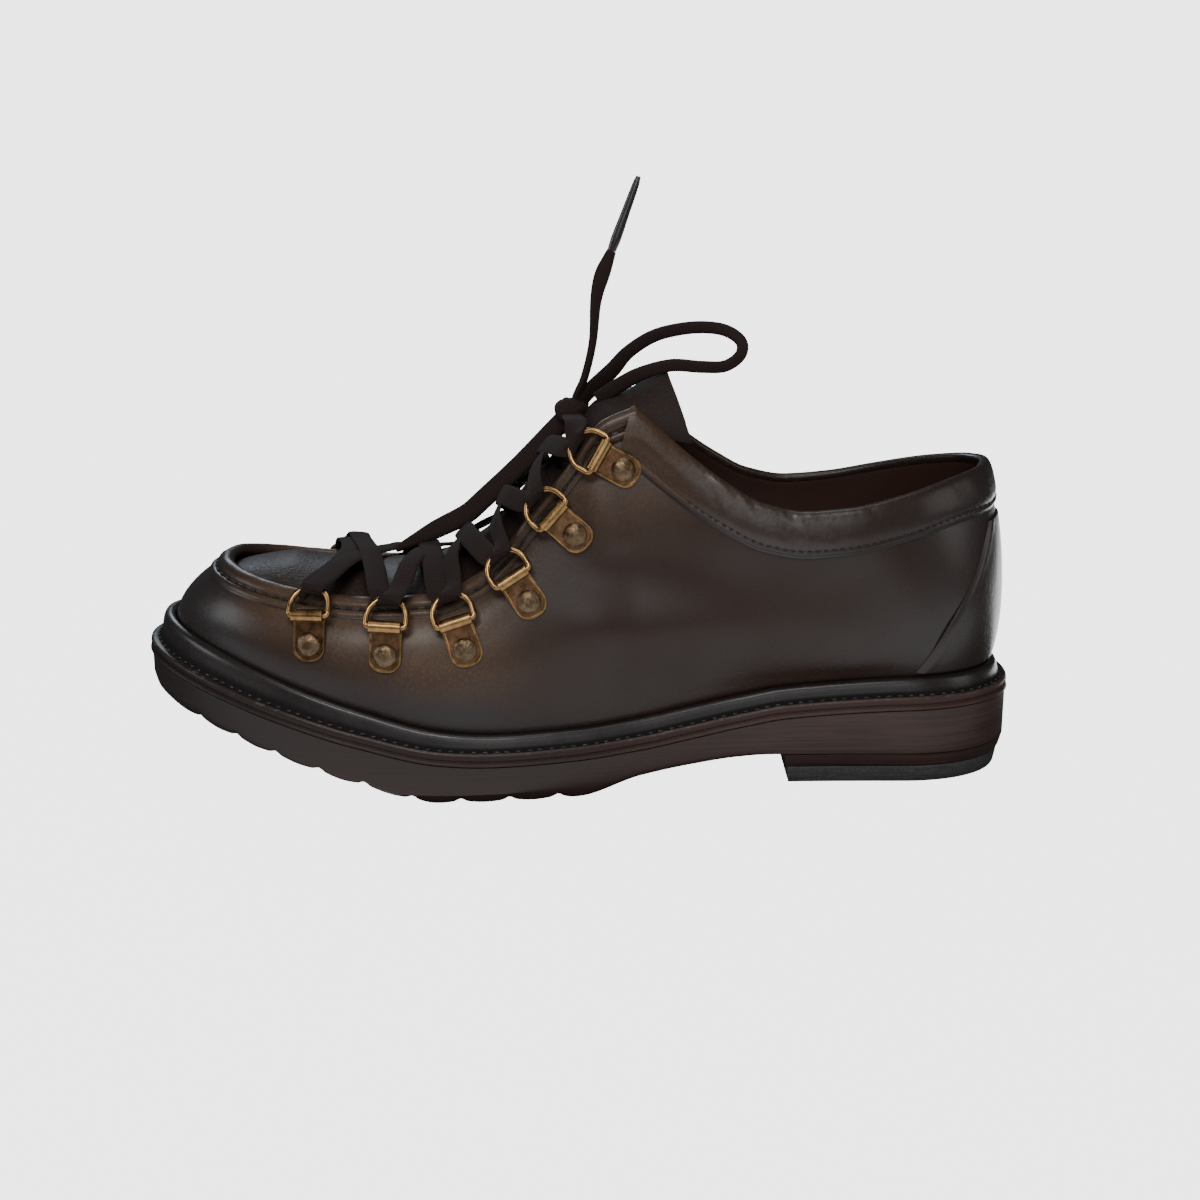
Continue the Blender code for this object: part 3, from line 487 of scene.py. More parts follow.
class ShoeSizes(bpy.types.PropertyGroup):
    """Sizes of what is laid over the solids."""

    lace_width: length_property("Lace width", "Flat lace between the rings", 7.4)
    lace_thickness: length_property("Lace thickness", "Flat lace between the rings", 1.4)
    loop_width: length_property("Loop width", "Lace in its free loop and end", 4.2)
    loop_thickness: length_property("Loop thickness", "Lace in its free loop and end", 2.2)
    bridge_width: length_property("Middle strand width", "Strand from the knot to the toe", 7.2)
    rim_stitch: length_property("Rim stitch", "Length of a stitch in the rim's groove", 2.6)
    band_stitch: length_property("Band stitch", "Length of a stitch on the collar band", 1.7)
    welt_stitch: length_property("Welt stitch", "Length of a stitch in the welt", 1.8)
    floor_reach: length_property("Floor reach", "Flat part of the ground", 1800.0)


class Value:
    """An output of a shader's nodes. Arithmetic on it adds Math nodes."""

    def __init__(self, finish, socket):
        self.finish = finish
        self.socket = socket

    def math(self, operation, first, second=None):
        sockets = {0: first} if second is None else {0: first, 1: second}
        return self.finish.node("Math", {"operation": operation}, sockets)

    def __add__(self, other):
        return self.math("ADD", self, other)

    def __sub__(self, other):
        return self.math("SUBTRACT", self, other)

    def __rsub__(self, other):
        return self.math("SUBTRACT", other, self)

    def __mul__(self, other):
        return self.math("MULTIPLY", self, other)

    def __truediv__(self, other):
        return self.math("DIVIDE", self, other)

    __radd__ = __add__
    __rmul__ = __mul__

    def sine(self):
        return self.math("SINE", self)

    def size(self):
        return self.math("ABSOLUTE", self)


class Finish:
    """A material under construction, with its Principled shader and the nodes that feed it."""

    def __init__(self, name):
        self.material = bpy.data.materials.new(name)
        self.material.use_nodes = True
        self.tree = self.material.node_tree
        self.shader = self.tree.nodes["Principled BSDF"]

    def node(self, kind, settings=None, sockets=None, outlet=0):
        """Adds a node, with its settings first and then the values or links of its sockets."""
        made = self.tree.nodes.new("ShaderNode" + kind)
        for name, setting in (settings or {}).items():
            if name == "stops":
                self.set_stops(made.color_ramp, setting)
            else:
                setattr(made, name, setting)
        for name, value in (sockets or {}).items():
            self.feed(made.inputs[name], value)
        return Value(self, made.outputs[outlet])

    def set_stops(self, ramp, stops):
        while len(ramp.elements) < len(stops):
            ramp.elements.new(1.0)
        for element, (place, level) in zip(ramp.elements, stops):
            element.position = place
            element.color = (level, level, level, 1.0)

    def feed(self, socket, value):
        if isinstance(value, Value):
            self.tree.links.new(value.socket, socket)
        elif socket.type == "RGBA":
            socket.default_value = (*value[:3], 1.0)
        else:
            socket.default_value = value

    def set(self, **sockets):
        """Feeds the shader's sockets, named with _ for a space."""
        for name, value in sockets.items():
            self.feed(self.shader.inputs[name.replace("_", " ")], value)

    def axes(self, outlet=3, scale=1000.0):
        """The object's coordinates in millimetres, or the UV map's with outlet 2 and scale 1."""
        place = self.node("TexCoord", outlet=outlet)
        return [self.node("SeparateXYZ", None, {0: place}, outlet=i) * scale for i in range(3)]

    def smooth(self, value, low, high):
        """0 at low, 1 at high, eased between."""
        return self.node("MapRange", {"interpolation_type": "SMOOTHSTEP"},
                         {"Value": value, "From Min": low, "From Max": high})

    def mix(self, factor, first, second):
        return self.node("Mix", {"data_type": "RGBA"}, {0: factor, 6: first, 7: second}, outlet=2)

    def noise(self, grain, detail=2.0, stretch=(1.0, 1.0, 1.0)):
        """Cloudy noise whose lumps are about one grain, in millimetres, across."""
        place = self.node("TexCoord", outlet=3)
        place = self.node("VectorMath", {"operation": "MULTIPLY"}, {0: place, 1: stretch})
        return self.node("TexNoise", None, {"Vector": place, "Scale": 1.0 / (grain * MM), "Detail": detail})

    def cells(self, grain):
        """Distance from the middle of cells of a given size in millimetres."""
        place = self.node("TexCoord", outlet=3)
        return self.node("TexVoronoi", None, {"Vector": place, "Scale": 1.0 / (grain * MM)})

    def relief(self, height, rise, strength=1.0):
        """A bump of a height from 0 to 1 that rises by so many millimetres."""
        self.set(Normal=self.node("Bump", None, {"Strength": strength, "Distance": rise * MM,
                                                 "Height": height}))


def colours():
    return bpy.context.scene.shoe_colours


def sizes():
    return bpy.context.scene.shoe_sizes


def tone(colour, level):
    return [level * part for part in colour]


def finish_once(make):
    """Makes a material the first time that a piece asks for it."""
    def found():
        made = bpy.data.materials.get(make.__name__)
        return made or make(Finish(make.__name__)).material
    return found


def welt_top(finish, x):
    """Height of the welt's rib along the shoe, read from the sole's own table."""
    stops = []
    for row in spaced(0.0, LENGTH, 12):
        stops.append((1.0 - row / LENGTH, (SOLE.at(row, "edge") + SOLE.at(row, "rib")) / 100.0))
    part = x / LENGTH + 0.5
    return 100.0 * finish.node("ValToRGB", {"stops": sorted(stops)}, {0: part})


def leather(finish, burnish=0.0, gloss=0.40, toe_gloss=0.2, wrinkle=0.0, shadow=0.0):
    """Brown leather: worn light on the front quarter, with painted light on the upper part of the facing,
    burnished dark at toe and heel, darker just above the welt in the forefoot, and painted shade mixed in
    where a shadow is given.
    """
    x, _, z = finish.axes()
    cloud = finish.noise(26.0, 3.0)
    speck = finish.noise(0.8, 2.0)
    over_welt = z - welt_top(finish, x)
    toe = finish.smooth(x, -102.0, -138.0)
    heel = finish.smooth(x, 62.0, 138.0)
    # foot: darker just above the welt in the forefoot
    foot = finish.smooth(over_welt, 18.0, 2.0) * finish.smooth(x, 40.0, -30.0)
    dark = toe + heel * 0.6 + foot * 0.6 + (cloud - 0.5) * 0.5 + burnish
    vamp = finish.smooth(x, 0.0, -46.0) * finish.smooth(x, -128.0, -94.0)
    # facing: lighter towards the top of the quarter by the rings, painted light where the light falls on it
    facing = finish.smooth(z, 72.0, 106.0) * finish.smooth(x, 70.0, 10.0)
    # this mask is worn light on the vamp and painted light on the upper facing
    rubbed_and_lit = vamp + facing * (1.0 - vamp) * 0.65
    rubbed_and_lit = rubbed_and_lit * (0.55 + cloud * 0.9) * finish.smooth(over_welt, 6.0, 26.0)
    fleck = finish.smooth(speck, 0.42, 0.72)
    look = colours()
    base = finish.mix(rubbed_and_lit * (0.7 + fleck * 0.5), look.leather_mid, look.leather_light)
    base = finish.mix(finish.smooth(dark + (0.5 - fleck) * 0.25, 0.1, 0.95), base, look.leather_dark)
    # painted shade: the shadow mask darkens grooves and edges towards the thread's colour
    base = finish.mix(shadow, base, look.thread)
    grain = finish.noise(1.1, 3.0) * 0.6 + finish.cells(1.5) * 0.4
    finish.relief(grain + wrinkle, 0.34, 0.8)
    flap = finish.smooth(z, 84.0, 112.0)
    rough = 0.42 - toe * 0.06 - heel * 0.06 + cloud * 0.1 + fleck * 0.05 + flap * (0.4 * burnish)
    shine = (gloss * (1.0 - flap * burnish) + toe * toe_gloss + heel * 0.2) * (0.6 + cloud * 0.8)
    finish.set(Base_Color=base, Roughness=rough, Coat_Weight=shine, Coat_Roughness=0.31,
               Specular_IOR_Level=0.12)
    return finish


@finish_once
def burnished_leather(finish):
    return leather(finish)


@finish_once
def rim_leather(finish):
    """The leather of the rolled rim, with painted shade in its stitched groove and a painted shadow along
    its outer edge.
    """
    across = finish.axes(2, 1.0)[1]
    # groove: painted shade in the stitched groove; the second term paints shadow along the rim's outer edge
    groove = finish.smooth(across, 0.42, 0.46) * finish.smooth(across, 0.54, 0.50)
    return leather(finish, shadow=groove * 0.7 + finish.smooth(across, 0.68, 0.72))


@finish_once
def plug_leather(finish):
    return leather(finish, burnish=0.7, gloss=0.04, toe_gloss=0.8)


@finish_once
def band_leather(finish):
    """The leather of the padded band, creased fine and polished where the collar dips, with a painted
    shadow along its lower edge.
    """
    x = finish.axes()[0]
    dip = finish.smooth(x, 28.0, 52.0) * finish.smooth(x, 98.0, 74.0)
    crease = finish.noise(3.2, 3.0, (1.0, 1.0, 0.45)) + finish.cells(2.6) * 0.5
    # edge: painted shadow along the band's lower edge, on its thin flange
    edge = finish.smooth(finish.axes(2, 1.0)[1], 0.63, 0.66)
    return leather(finish, gloss=0.26 + dip * 0.5, wrinkle=crease * (0.8 + dip * 3.0), shadow=edge)


@finish_once
def lining_leather(finish):
    """Smooth red-brown lining, a little lighter towards the heel, in cloudy patches."""
    cloud = finish.noise(30.0, 3.0)
    x = finish.axes()[0]
    look = colours()
    deep = tone(look.lining, 0.55)
    base = finish.mix(finish.smooth(x, 20.0, 90.0) * (0.5 + cloud * 0.6), deep, look.lining)
    finish.relief(finish.noise(1.4, 3.0), 0.08, 0.5)
    finish.set(Base_Color=base, Roughness=0.5 + cloud * 0.2, Specular_IOR_Level=0.35)
    return finish


def sole_shade(finish, base):
    """Darkens a sole colour towards the forefoot and greys it at the toe."""
    x = finish.axes()[0]
    look = colours()
    base = finish.mix(finish.smooth(x, 70.0, -20.0) * 0.75, base, tone(look.sole, 0.36))
    return finish.mix(finish.smooth(x, -70.0, -130.0) * 0.8, base, look.leather_dark)


@finish_once
def welt_rubber(finish):
    """Welt with painted shade in its groove and on the lower face of its rib, a polished rib and flecks
    worn into its outer ridge.
    """
    cloud = finish.noise(9.0, 3.0)
    fine = finish.noise(0.9, 2.0)
    look = colours()
    across = finish.axes(2, 1.0)[1]
    rib = finish.smooth(across, 0.55, 0.63)
    # groove: painted shade in the groove and on the lower face of the rib
    groove = finish.smooth(across, 0.42, 0.50) * (1.0 - rib)
    ridge = finish.smooth(across, 0.30, 0.36) * finish.smooth(across, 0.50, 0.44)
    worn = tone(look.welt, 2.1)
    base = finish.mix(finish.smooth(cloud * 0.6 + fine * 0.4, 0.35, 0.75), look.welt, worn)
    edge = sole_shade(finish, tone(look.sole, 0.8))
    base = finish.mix(finish.smooth(across, 0.36, 0.46), edge, base)
    base = finish.mix(groove * 0.75, base, tone(look.welt, 0.2))
    fleck = finish.smooth(finish.noise(1.3, 3.0, (0.6, 0.6, 1.0)) * 0.7 + cloud * 0.3, 0.53, 0.62)
    base = finish.mix(ridge * fleck * 0.8, base, look.welt_thread)
    finish.relief(fine * 0.6 + finish.noise(3.0, 2.0) * 0.4, 0.14, 0.6)
    finish.set(Base_Color=base, Roughness=0.36 + cloud * 0.2 + groove * 0.3, Specular_IOR_Level=0.15,
               Coat_Weight=rib * 0.45 + ridge * 0.25, Coat_Roughness=0.26)
    return finish


@finish_once
def sole_rubber(finish):
    """Reddish rubber with fine streaks along the side, as from trimming."""
    streak = finish.noise(0.7, 3.0, (0.02, 0.02, 1.0))
    cloud = finish.noise(22.0, 2.0)
    look = colours()
    deep = tone(look.sole, 0.6)
    base = finish.mix(finish.smooth(streak * 0.7 + cloud * 0.3, 0.35, 0.68), deep, look.sole)
    base = sole_shade(finish, base)
    finish.relief(streak * 0.7 + finish.noise(1.2, 2.0) * 0.3, 0.12, 0.5)
    finish.set(Base_Color=base, Roughness=0.40 + streak * 0.16, Specular_IOR_Level=0.3)
    return finish


@finish_once
def lift_rubber(finish):
    """Dark grey top lift with a dusty grain."""
    streak = finish.noise(0.6, 3.0, (0.05, 0.05, 1.0))
    grain = finish.noise(0.8, 2.0)
    look = colours()
    dusty = tone(look.lift, 1.9)
    base = finish.mix(finish.smooth(grain * 0.5 + streak * 0.5, 0.4, 0.7), look.lift, dusty)
    finish.relief(grain * 0.6 + streak * 0.4, 0.12, 0.6)
    finish.set(Base_Color=base, Roughness=0.5 + grain * 0.2)
    return finish


def aged_metal(finish, colour, mottle, rise, grain, dull=0.0):
    """Antiqued metal: darker in patches and a little uneven."""
    patch = finish.noise(2.6, 3.0)
    fine = finish.noise(grain, 2.0)
    deep = tone(colour, mottle)
    base = finish.mix(finish.smooth(patch * 0.6 + fine * 0.4, 0.32, 0.68), deep, colour)
    finish.relief(fine, rise, 0.6)
    finish.set(Base_Color=base, Metallic=1.0, Roughness=0.2 + dull + patch * 0.2)
    return finish


@finish_once
def ring_brass(finish):
    return aged_metal(finish, colours().brass, 0.55, 0.015, 1.4)


@finish_once
def plate_copper(finish):
    return aged_metal(finish, colours().copper, 0.6, 0.05, 1.0)


@finish_once
def rivet_brass(finish):
    """Hammered head, greyer in its dents."""
    return aged_metal(finish, colours().rivet, 0.4, 0.4, 1.2, 0.12)


@finish_once
def lace_braid(finish):
    """Flat braid: its strands lie in a herringbone along the lace."""
    u, v, _ = finish.axes(2, 1.0)
    middle = (finish.node("Math", {"operation": "FRACT"}, {0: v * 2.0}) - 0.5).size()
    strands = ((u * 10.0 + middle * 4.0) * TURN).sine() * 0.5 + 0.5
    fuzz = finish.noise(0.5, 2.0)
    look = colours()
    deep = tone(look.lace, 0.65)
    base = finish.mix(strands * 0.4 + fuzz * 0.6, deep, tone(look.lace, 1.25))
    finish.relief(strands * 0.5 + fuzz * 0.5, 0.08, 0.6)
    finish.set(Base_Color=base, Roughness=0.8, Specular_IOR_Level=0.09, Sheen_Weight=0.02,
               Sheen_Roughness=0.5)
    return finish


@finish_once
def aglet_wax(finish):
    """Dark hard tip of the lace, with a thread or two showing through."""
    streak = finish.noise(0.6, 2.0, (1.0, 1.0, 0.12))
    look = colours()
    base = finish.mix(streak, tone(look.lace, 0.35), tone(look.lace, 0.9))
    finish.relief(streak, 0.08, 0.5)
    finish.set(Base_Color=base, Roughness=0.25 + streak * 0.15, Coat_Weight=0.4, Coat_Roughness=0.15)
    return finish


def twisted_thread(finish, colour):
    twist = finish.noise(0.35, 2.0)
    worn = finish.smooth(finish.noise(9.0, 3.0), 0.4, 0.62)
    base = finish.mix(twist * 0.5 + worn * 0.5, tone(colour, 0.15), colour)
    finish.relief(twist, 0.1, 0.7)
    finish.set(Base_Color=base, Roughness=0.6 + twist * 0.2)
    return finish


@finish_once
def dark_thread(finish):
    return twisted_thread(finish, colours().thread)


@finish_once
def welt_thread(finish):
    return twisted_thread(finish, colours().welt_thread)


@finish_once
def pale_floor(finish):
    soft = finish.noise(900.0, 1.0)
    look = colours()
    base = finish.mix(soft * 0.2, look.floor, tone(look.floor, 0.97))
    finish.set(Base_Color=base, Roughness=0.9, Specular_IOR_Level=0.0, Emission_Color=(1.0, 1.0, 1.0),
               Emission_Strength=FLOOR_GLOW)
    return finish


def sheet(columns, rows, place, stretch=(1.0, 1.0)):
    """A grid laid on a surface: place gives the point of each column and row, in millimetres."""
    bm = bmesh.new()
    uv = bm.loops.layers.uv.new("UVMap")
    bmesh.ops.create_grid(bm, x_segments=columns, y_segments=rows, size=0.5, calc_uvs=True)
    for vert in bm.verts:
        column = round((vert.co.x + 0.5) * columns)
        row = round((vert.co.y + 0.5) * rows)
        vert.co = place(column, row) * MM
    for face in bm.faces:
        for loop in face.loops:
            loop[uv].uv *= Vector(stretch)
    return bm


def weld(bm):
    bmesh.ops.remove_doubles(bm, verts=bm.verts, dist=MERGE)
    bmesh.ops.dissolve_degenerate(bm, edges=bm.edges, dist=0.1 * MERGE)


def loft(sections, closed, stretch=(1.0, 1.0)):
    """A skin through closed sections: a ring when closed, otherwise with its ends filled."""
    count, size = len(sections), len(sections[0])
    columns = count if closed else count - 1
    bm = sheet(columns, size, lambda i, j: sections[i % count][j % size], stretch)
    weld(bm)
    ends = [edge for edge in bm.edges if edge.is_boundary]
    if ends:
        bmesh.ops.holes_fill(bm, edges=ends)
    bmesh.ops.recalc_face_normals(bm, faces=bm.faces)
    return bm


def spun(profile, steps):
    """A skin spun round the upright axis from a profile of radii and heights, in metres."""
    bm = bmesh.new()
    verts = [bm.verts.new((radius, 0.0, height)) for radius, height in profile]
    edges = [bm.edges.new(pair) for pair in zip(verts, verts[1:])]
    bmesh.ops.spin(bm, geom=verts + edges, axis=UP, cent=(0.0, 0.0, 0.0), angle=TURN, steps=steps,
                   use_merge=True)
    bmesh.ops.remove_doubles(bm, verts=bm.verts, dist=MERGE)
    return bm


def add_object(name, data):
    made = bpy.data.objects.new(name, data)
    bpy.context.scene.collection.objects.link(made)
    return made


def add_mesh(name, bm, finish):
    mesh = bpy.data.meshes.new(name)
    bm.to_mesh(mesh)
    bm.free()
    mesh.shade_smooth()
    mesh.materials.append(finish)
    return add_object(name, mesh)


def add_piece(name, bm, finish, slot, nodes=(), sharp=45.0):
    """Makes a finished mesh a piece of the shoe, in place of the solids that it stands for."""
    piece = add_mesh(name, bm, finish)
    piece.data.set_sharp_from_angle(angle=math.radians(sharp))
    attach(piece, "root")
    if nodes:
        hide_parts(*nodes)
    return piece


def crease_rise(point, share):
    """How far the soft troughs and ridges lift the leather at a point of the wall."""
    place = Vector((0.5 * LENGTH - point.x, point.z))
    rise = 0.0
    for start_station, start_height, end_station, end_height, width, height in CREASE_ROWS:
        start = Vector((start_station, start_height))
        line = Vector((end_station, end_height)) - start
        part = clamp((place - start).dot(line) / line.length_squared)
        rise += height * bell((place - start - line * part).length, width)
    return rise * min(1.0, 8.0 * share, 6.0 * (1.0 - share))


UPPER_COLUMNS = 340
UPPER_SHARES = spaced(0.0, 1.0, 44)
INNER_SHARES = spaced(1.0, 0.0, 16)


def upper_shape():
    """The leather wall: its outer face with the creases, a rounded top edge and its inner face."""
    depth = WALL - LINING
    sections = []
    for angle in round_turns(UPPER_COLUMNS):
        width = welt_width(angle)
        foot = [sole_point(angle, width + 0.2, height=-WELT_DEPTH)]
        outer = [skin(angle, share, crease_rise(wall(angle, share), share)) for share in UPPER_SHARES]
        edge = [near_rim(angle, -0.4, -part * depth) for part in (0.25, 0.75)]
        inner = [skin(angle, share, -depth) for share in INNER_SHARES]
        inner_foot = [sole_point(angle, width + depth, height=-WELT_DEPTH)]
        sections.append(foot + outer + edge + inner + inner_foot)
    return loft(sections, True)


def lining_shape():
    """The lining on the inner face of the wall, turned in at the top edge."""
    depth = WALL - LINING + 0.05
    sections = []
    for angle in round_turns(UPPER_COLUMNS // 2):
        outer = [skin(angle, share, -depth) for share in reversed(INNER_SHARES[:-1])]
        edge = [near_rim(angle, -0.3, -depth - part * LINING) for part in (0.3, 0.7)]
        inner = [skin(angle, share, -WALL) for share in INNER_SHARES[:-1]]
        sections.append(outer + edge + inner)
    return loft(sections, True)


RIM_STEPS = 280


def rim_shape():
    """The rolled rim round the plug and up both facings, with its stitched groove and flat band."""
    profile = smooth_route([(*row, 0.0) for row in RIM_PROFILE], 2, closed=True)
    sections = []
    for angle in spaced(THROAT, TURN - THROAT, RIM_STEPS):
        swell = 1.0 + 0.10 * noise.noise(Vector((station_of(angle) * 0.16, side_of(angle), 0.4)))
        sections.append([near_rim(angle, row.x, row.y * swell) for row in profile])
    return loft(sections, False, (40.0, 1.0))


BAND_STEPS = 260
BAND_FRONT_REACH = 0.12   # angle over which the front end slants and thickens over the rim's end
BAND_FRONT_SLANT = 0.05
BAND_FRONT_SWELL = 0.35
BAND_PLATE_REACH = 0.13   # angle from the front end over which the lower part lies flat under a plate
BAND_PLATE_FADE = 0.06
BAND_PLATE_FLAT = 0.7


def band_wrinkle(angle, part):
    """Small creases across the padded band, most of them where the collar dips."""
    station = station_of(angle)
    dip = bell(station - 84.0, 34.0)
    across = noise.noise(Vector((station * 0.30 + part * 2.5, part * 1.2, side_of(angle))))
    broad = noise.noise(Vector((station * 0.07, part * 0.8, 3.0 + side_of(angle))))
    return (0.10 + 0.34 * dip) * across + 0.22 * broad


def band_shape():
    """The padded band round the collar, rolled over the top line."""
    profile = smooth_route([(*row, 0.0) for row in BAND_PROFILE], 2, closed=True)
    end = THROAT - BAND_FRONT_GAP
    sections = []
    for angle in spaced(-end, end, BAND_STEPS):
        width = BACK.at(abs(angle), "band")
        front = max(0.0, 1.0 - (end - abs(angle)) / BAND_FRONT_REACH) ** 2
        by_plate = clamp((BAND_PLATE_REACH - end + abs(angle)) / BAND_PLATE_FADE)
        section = []
        for row in profile:
            padded = clamp(row.y - 0.3) * clamp(6.0 * (0.96 - row.x))
            slant = math.copysign(BAND_FRONT_SLANT * max(0.0, row.x) * front, angle)
            under = by_plate * clamp((row.x - 0.5) / 0.2)
            rise = row.y * (1.0 + BAND_FRONT_SWELL * front) + padded * band_wrinkle(angle, row.x)
            section.append(near_rim(angle + slant, row.x * width, rise * (1.0 - BAND_PLATE_FLAT * under)))
        sections.append(section)
    return loft(sections, False, (40.0, 1.0))


STRAP_ROWS = 44
STRAP_COLUMNS = 56


def strap_shape():
    """The back strap, with a fold along its curved front seams."""
    sections = []
    for share in spaced(STRAP.keys[0], STRAP.keys[-1], STRAP_ROWS):
        reach = angle_of(STRAP.at(share, "station"))
        angles = spaced(-reach, reach, STRAP_COLUMNS)
        outer = []
        for angle in angles:
            seam = wall(math.copysign(reach, angle), share)
            away = (wall(angle, share) - seam).length
            fold = 0.85 + 0.25 * bell(away - 2.0, 1.2)
            outer.append(skin(angle, share, fold * (1.0 - 0.8 * bell(away, 1.3))))
        inner = [skin(angle, share, 0.1) for angle in reversed(angles)]
        sections.append(outer + inner)
    return loft(sections, False)


ARCH_STEPS = 40
TONGUE_STEPS = 96
TONGUE_FRONT = 0.07       # angle from the toe tip at which the plug begins
TONGUE_TOP_STEPS = 12
TONGUE_CROWN = Vector((-2.6, 0.0, 3.6))
CROWN_PART = Table("station part", (130.0, 0.4), (145.0, 0.8), (170.0, 1.0), (200.0, 0.6), (225.0, 0.0),
                   (300.0, 0.0))


def tongue_shape():
    """The middle of the plug and tongue: arches from side to side, then the free flap at the top."""
    offset = -(WALL + TONGUE_CLEAR + 0.5 * TONGUE_THICKNESS)
    arches = []
    for angle in spaced(math.pi - TONGUE_FRONT, THROAT, TONGUE_STEPS):
        reach = FRONT.at(angle, "reach")
        ends, leans = [], []
        for turned in (angle, TURN - angle):
            share = share_below(turned, TONGUE_TUCK)
            ends.append(skin(turned, share, offset))
            leans.append(wall_frame(turned, share)[0] * reach)
        controls = (ends[0], ends[0] + leans[0], ends[1] + leans[1], ends[1])
        crown = TONGUE_CROWN * CROWN_PART.at(station_of(angle), "part")
        arches.append([cubic(controls, t) + crown * (16.0 * (t * (1.0 - t)) ** 2)
                       for t in spaced(0.0, 1.0, ARCH_STEPS)])
    last = arches[-1]
    from_middle = [abs(2.0 * i / ARCH_STEPS - 1.0) for i in range(ARCH_STEPS + 1)]
    for part in spaced(0.0, 1.0, TONGUE_TOP_STEPS)[1:]:
        rises = [TONGUE_TOP_RISE + TONGUE_SIDE_RUN * side * side for side in from_middle]
        arches.append([point + rise * part for point, rise in zip(last, rises)])
    bm = sheet(ARCH_STEPS, len(arches) - 1, lambda i, j: arches[j][i])
    bmesh.ops.reverse_faces(bm, faces=bm.faces)
    return bm


def round_edges(piece, width, segments, degrees):
    bevel = piece.modifiers.new("edge", "BEVEL")
    bevel.width = width * MM
    bevel.segments = segments
    bevel.limit_method = "ANGLE"
    bevel.angle_limit = math.radians(degrees)


def thicken(piece, thickness, offset, round_edge):
    """Gives a sheet its thickness and rounds its edges."""
    solidify = piece.modifiers.new("thickness", "SOLIDIFY")
    solidify.thickness = thickness * MM
    solidify.offset = offset
    solidify.use_even_offset = True
    round_edges(piece, round_edge, 3, 55.0)


def insole_shape():
    """The insole, a little cupped, from the heel to the toe."""
    rows, columns = 24, 90

    def place(i, j):
        angle = math.pi * i / columns
        inset = welt_width(angle) + WALL + 2.0 * GAP
        sides = [sole_point(side, inset, height=INSOLE_THICKNESS - WELT_DEPTH) for side in (angle, -angle)]
        across = 2.0 * j / rows - 1.0
        return sides[0].lerp(sides[1], j / rows) - UP * (INSOLE_CUP * (1.0 - across * across))

    bm = sheet(columns, rows, place)
    weld(bm)
    bmesh.ops.recalc_face_normals(bm, faces=bm.faces)
    return bm


WELT_COLUMNS = 400


def welt_point(angle, row):
    point = sole_point(angle, welt_width(angle) * row.x, height=row.y)
    point.z += row.z * SOLE.at(0.5 * LENGTH - point.x, "rib")
    return point


def welt_shape():
    """The welt: fine rib and ridge at its edge, a stitched groove and the rib against the upper."""
    profile = smooth_route(WELT_PROFILE, 3, closed=True)
    sections = [[welt_point(angle, row) for row in profile] for angle in round_turns(WELT_COLUMNS)]
    return loft(sections, True, (90.0, 1.0))


SOLE_COLUMNS = 440
SOLE_SIDE_STEPS = 8
SOLE_ACROSS = 44
CENTRE_GROOVE_DEPTH = 1.1
CROSS_GROOVE_STEP = 4.0   # from a lug's groove to the cross groove beside it
CROSS_GROOVE_HALF = 1.3
HEEL_JOIN = Table("station part", (0.0, 0.08), (78.0, 0.08), (92.0, 1.0), (300.0, 1.0))


def lug_notch(station):
    """Share of the groove's depth at a station: a notch between lugs, with the lugs a little rounded."""
    near = min(abs(station - place) for place in LUG_STATIONS)
    notch = 0.75 * bell(near, LUG_GROOVE_HALF)
    belly = 0.5 * max(0.0, 1.0 - near / (2.0 * CROSS_GROOVE_STEP)) ** 2
    front = clamp((station - LUG_STATIONS[0] + 6.0) / 4.0)
    return max(notch, belly) * front


def tread(station, from_edge):
    """Depth of the tread under the forefoot: grooves from the edges, and cross grooves in the middle."""
    edge = 1.0 / (1.0 + math.exp((from_edge - LUG_GROOVE_REACH) / 0.8))
    depth = LUG_GROOVE_DEPTH * lug_notch(station) * edge
    if LUG_STATIONS[0] < station < LUG_STATIONS[-1]:
        past = (station - LUG_STATIONS[0]) % (2.0 * CROSS_GROOVE_STEP) - CROSS_GROOVE_STEP
        halfway = math.exp(-(past / CROSS_GROOVE_HALF) ** 4)
        inside = 1.0 / (1.0 + math.exp((LUG_GROOVE_REACH + 4.0 - from_edge) / 0.6))
        depth += CENTRE_GROOVE_DEPTH * halfway * inside
    return depth


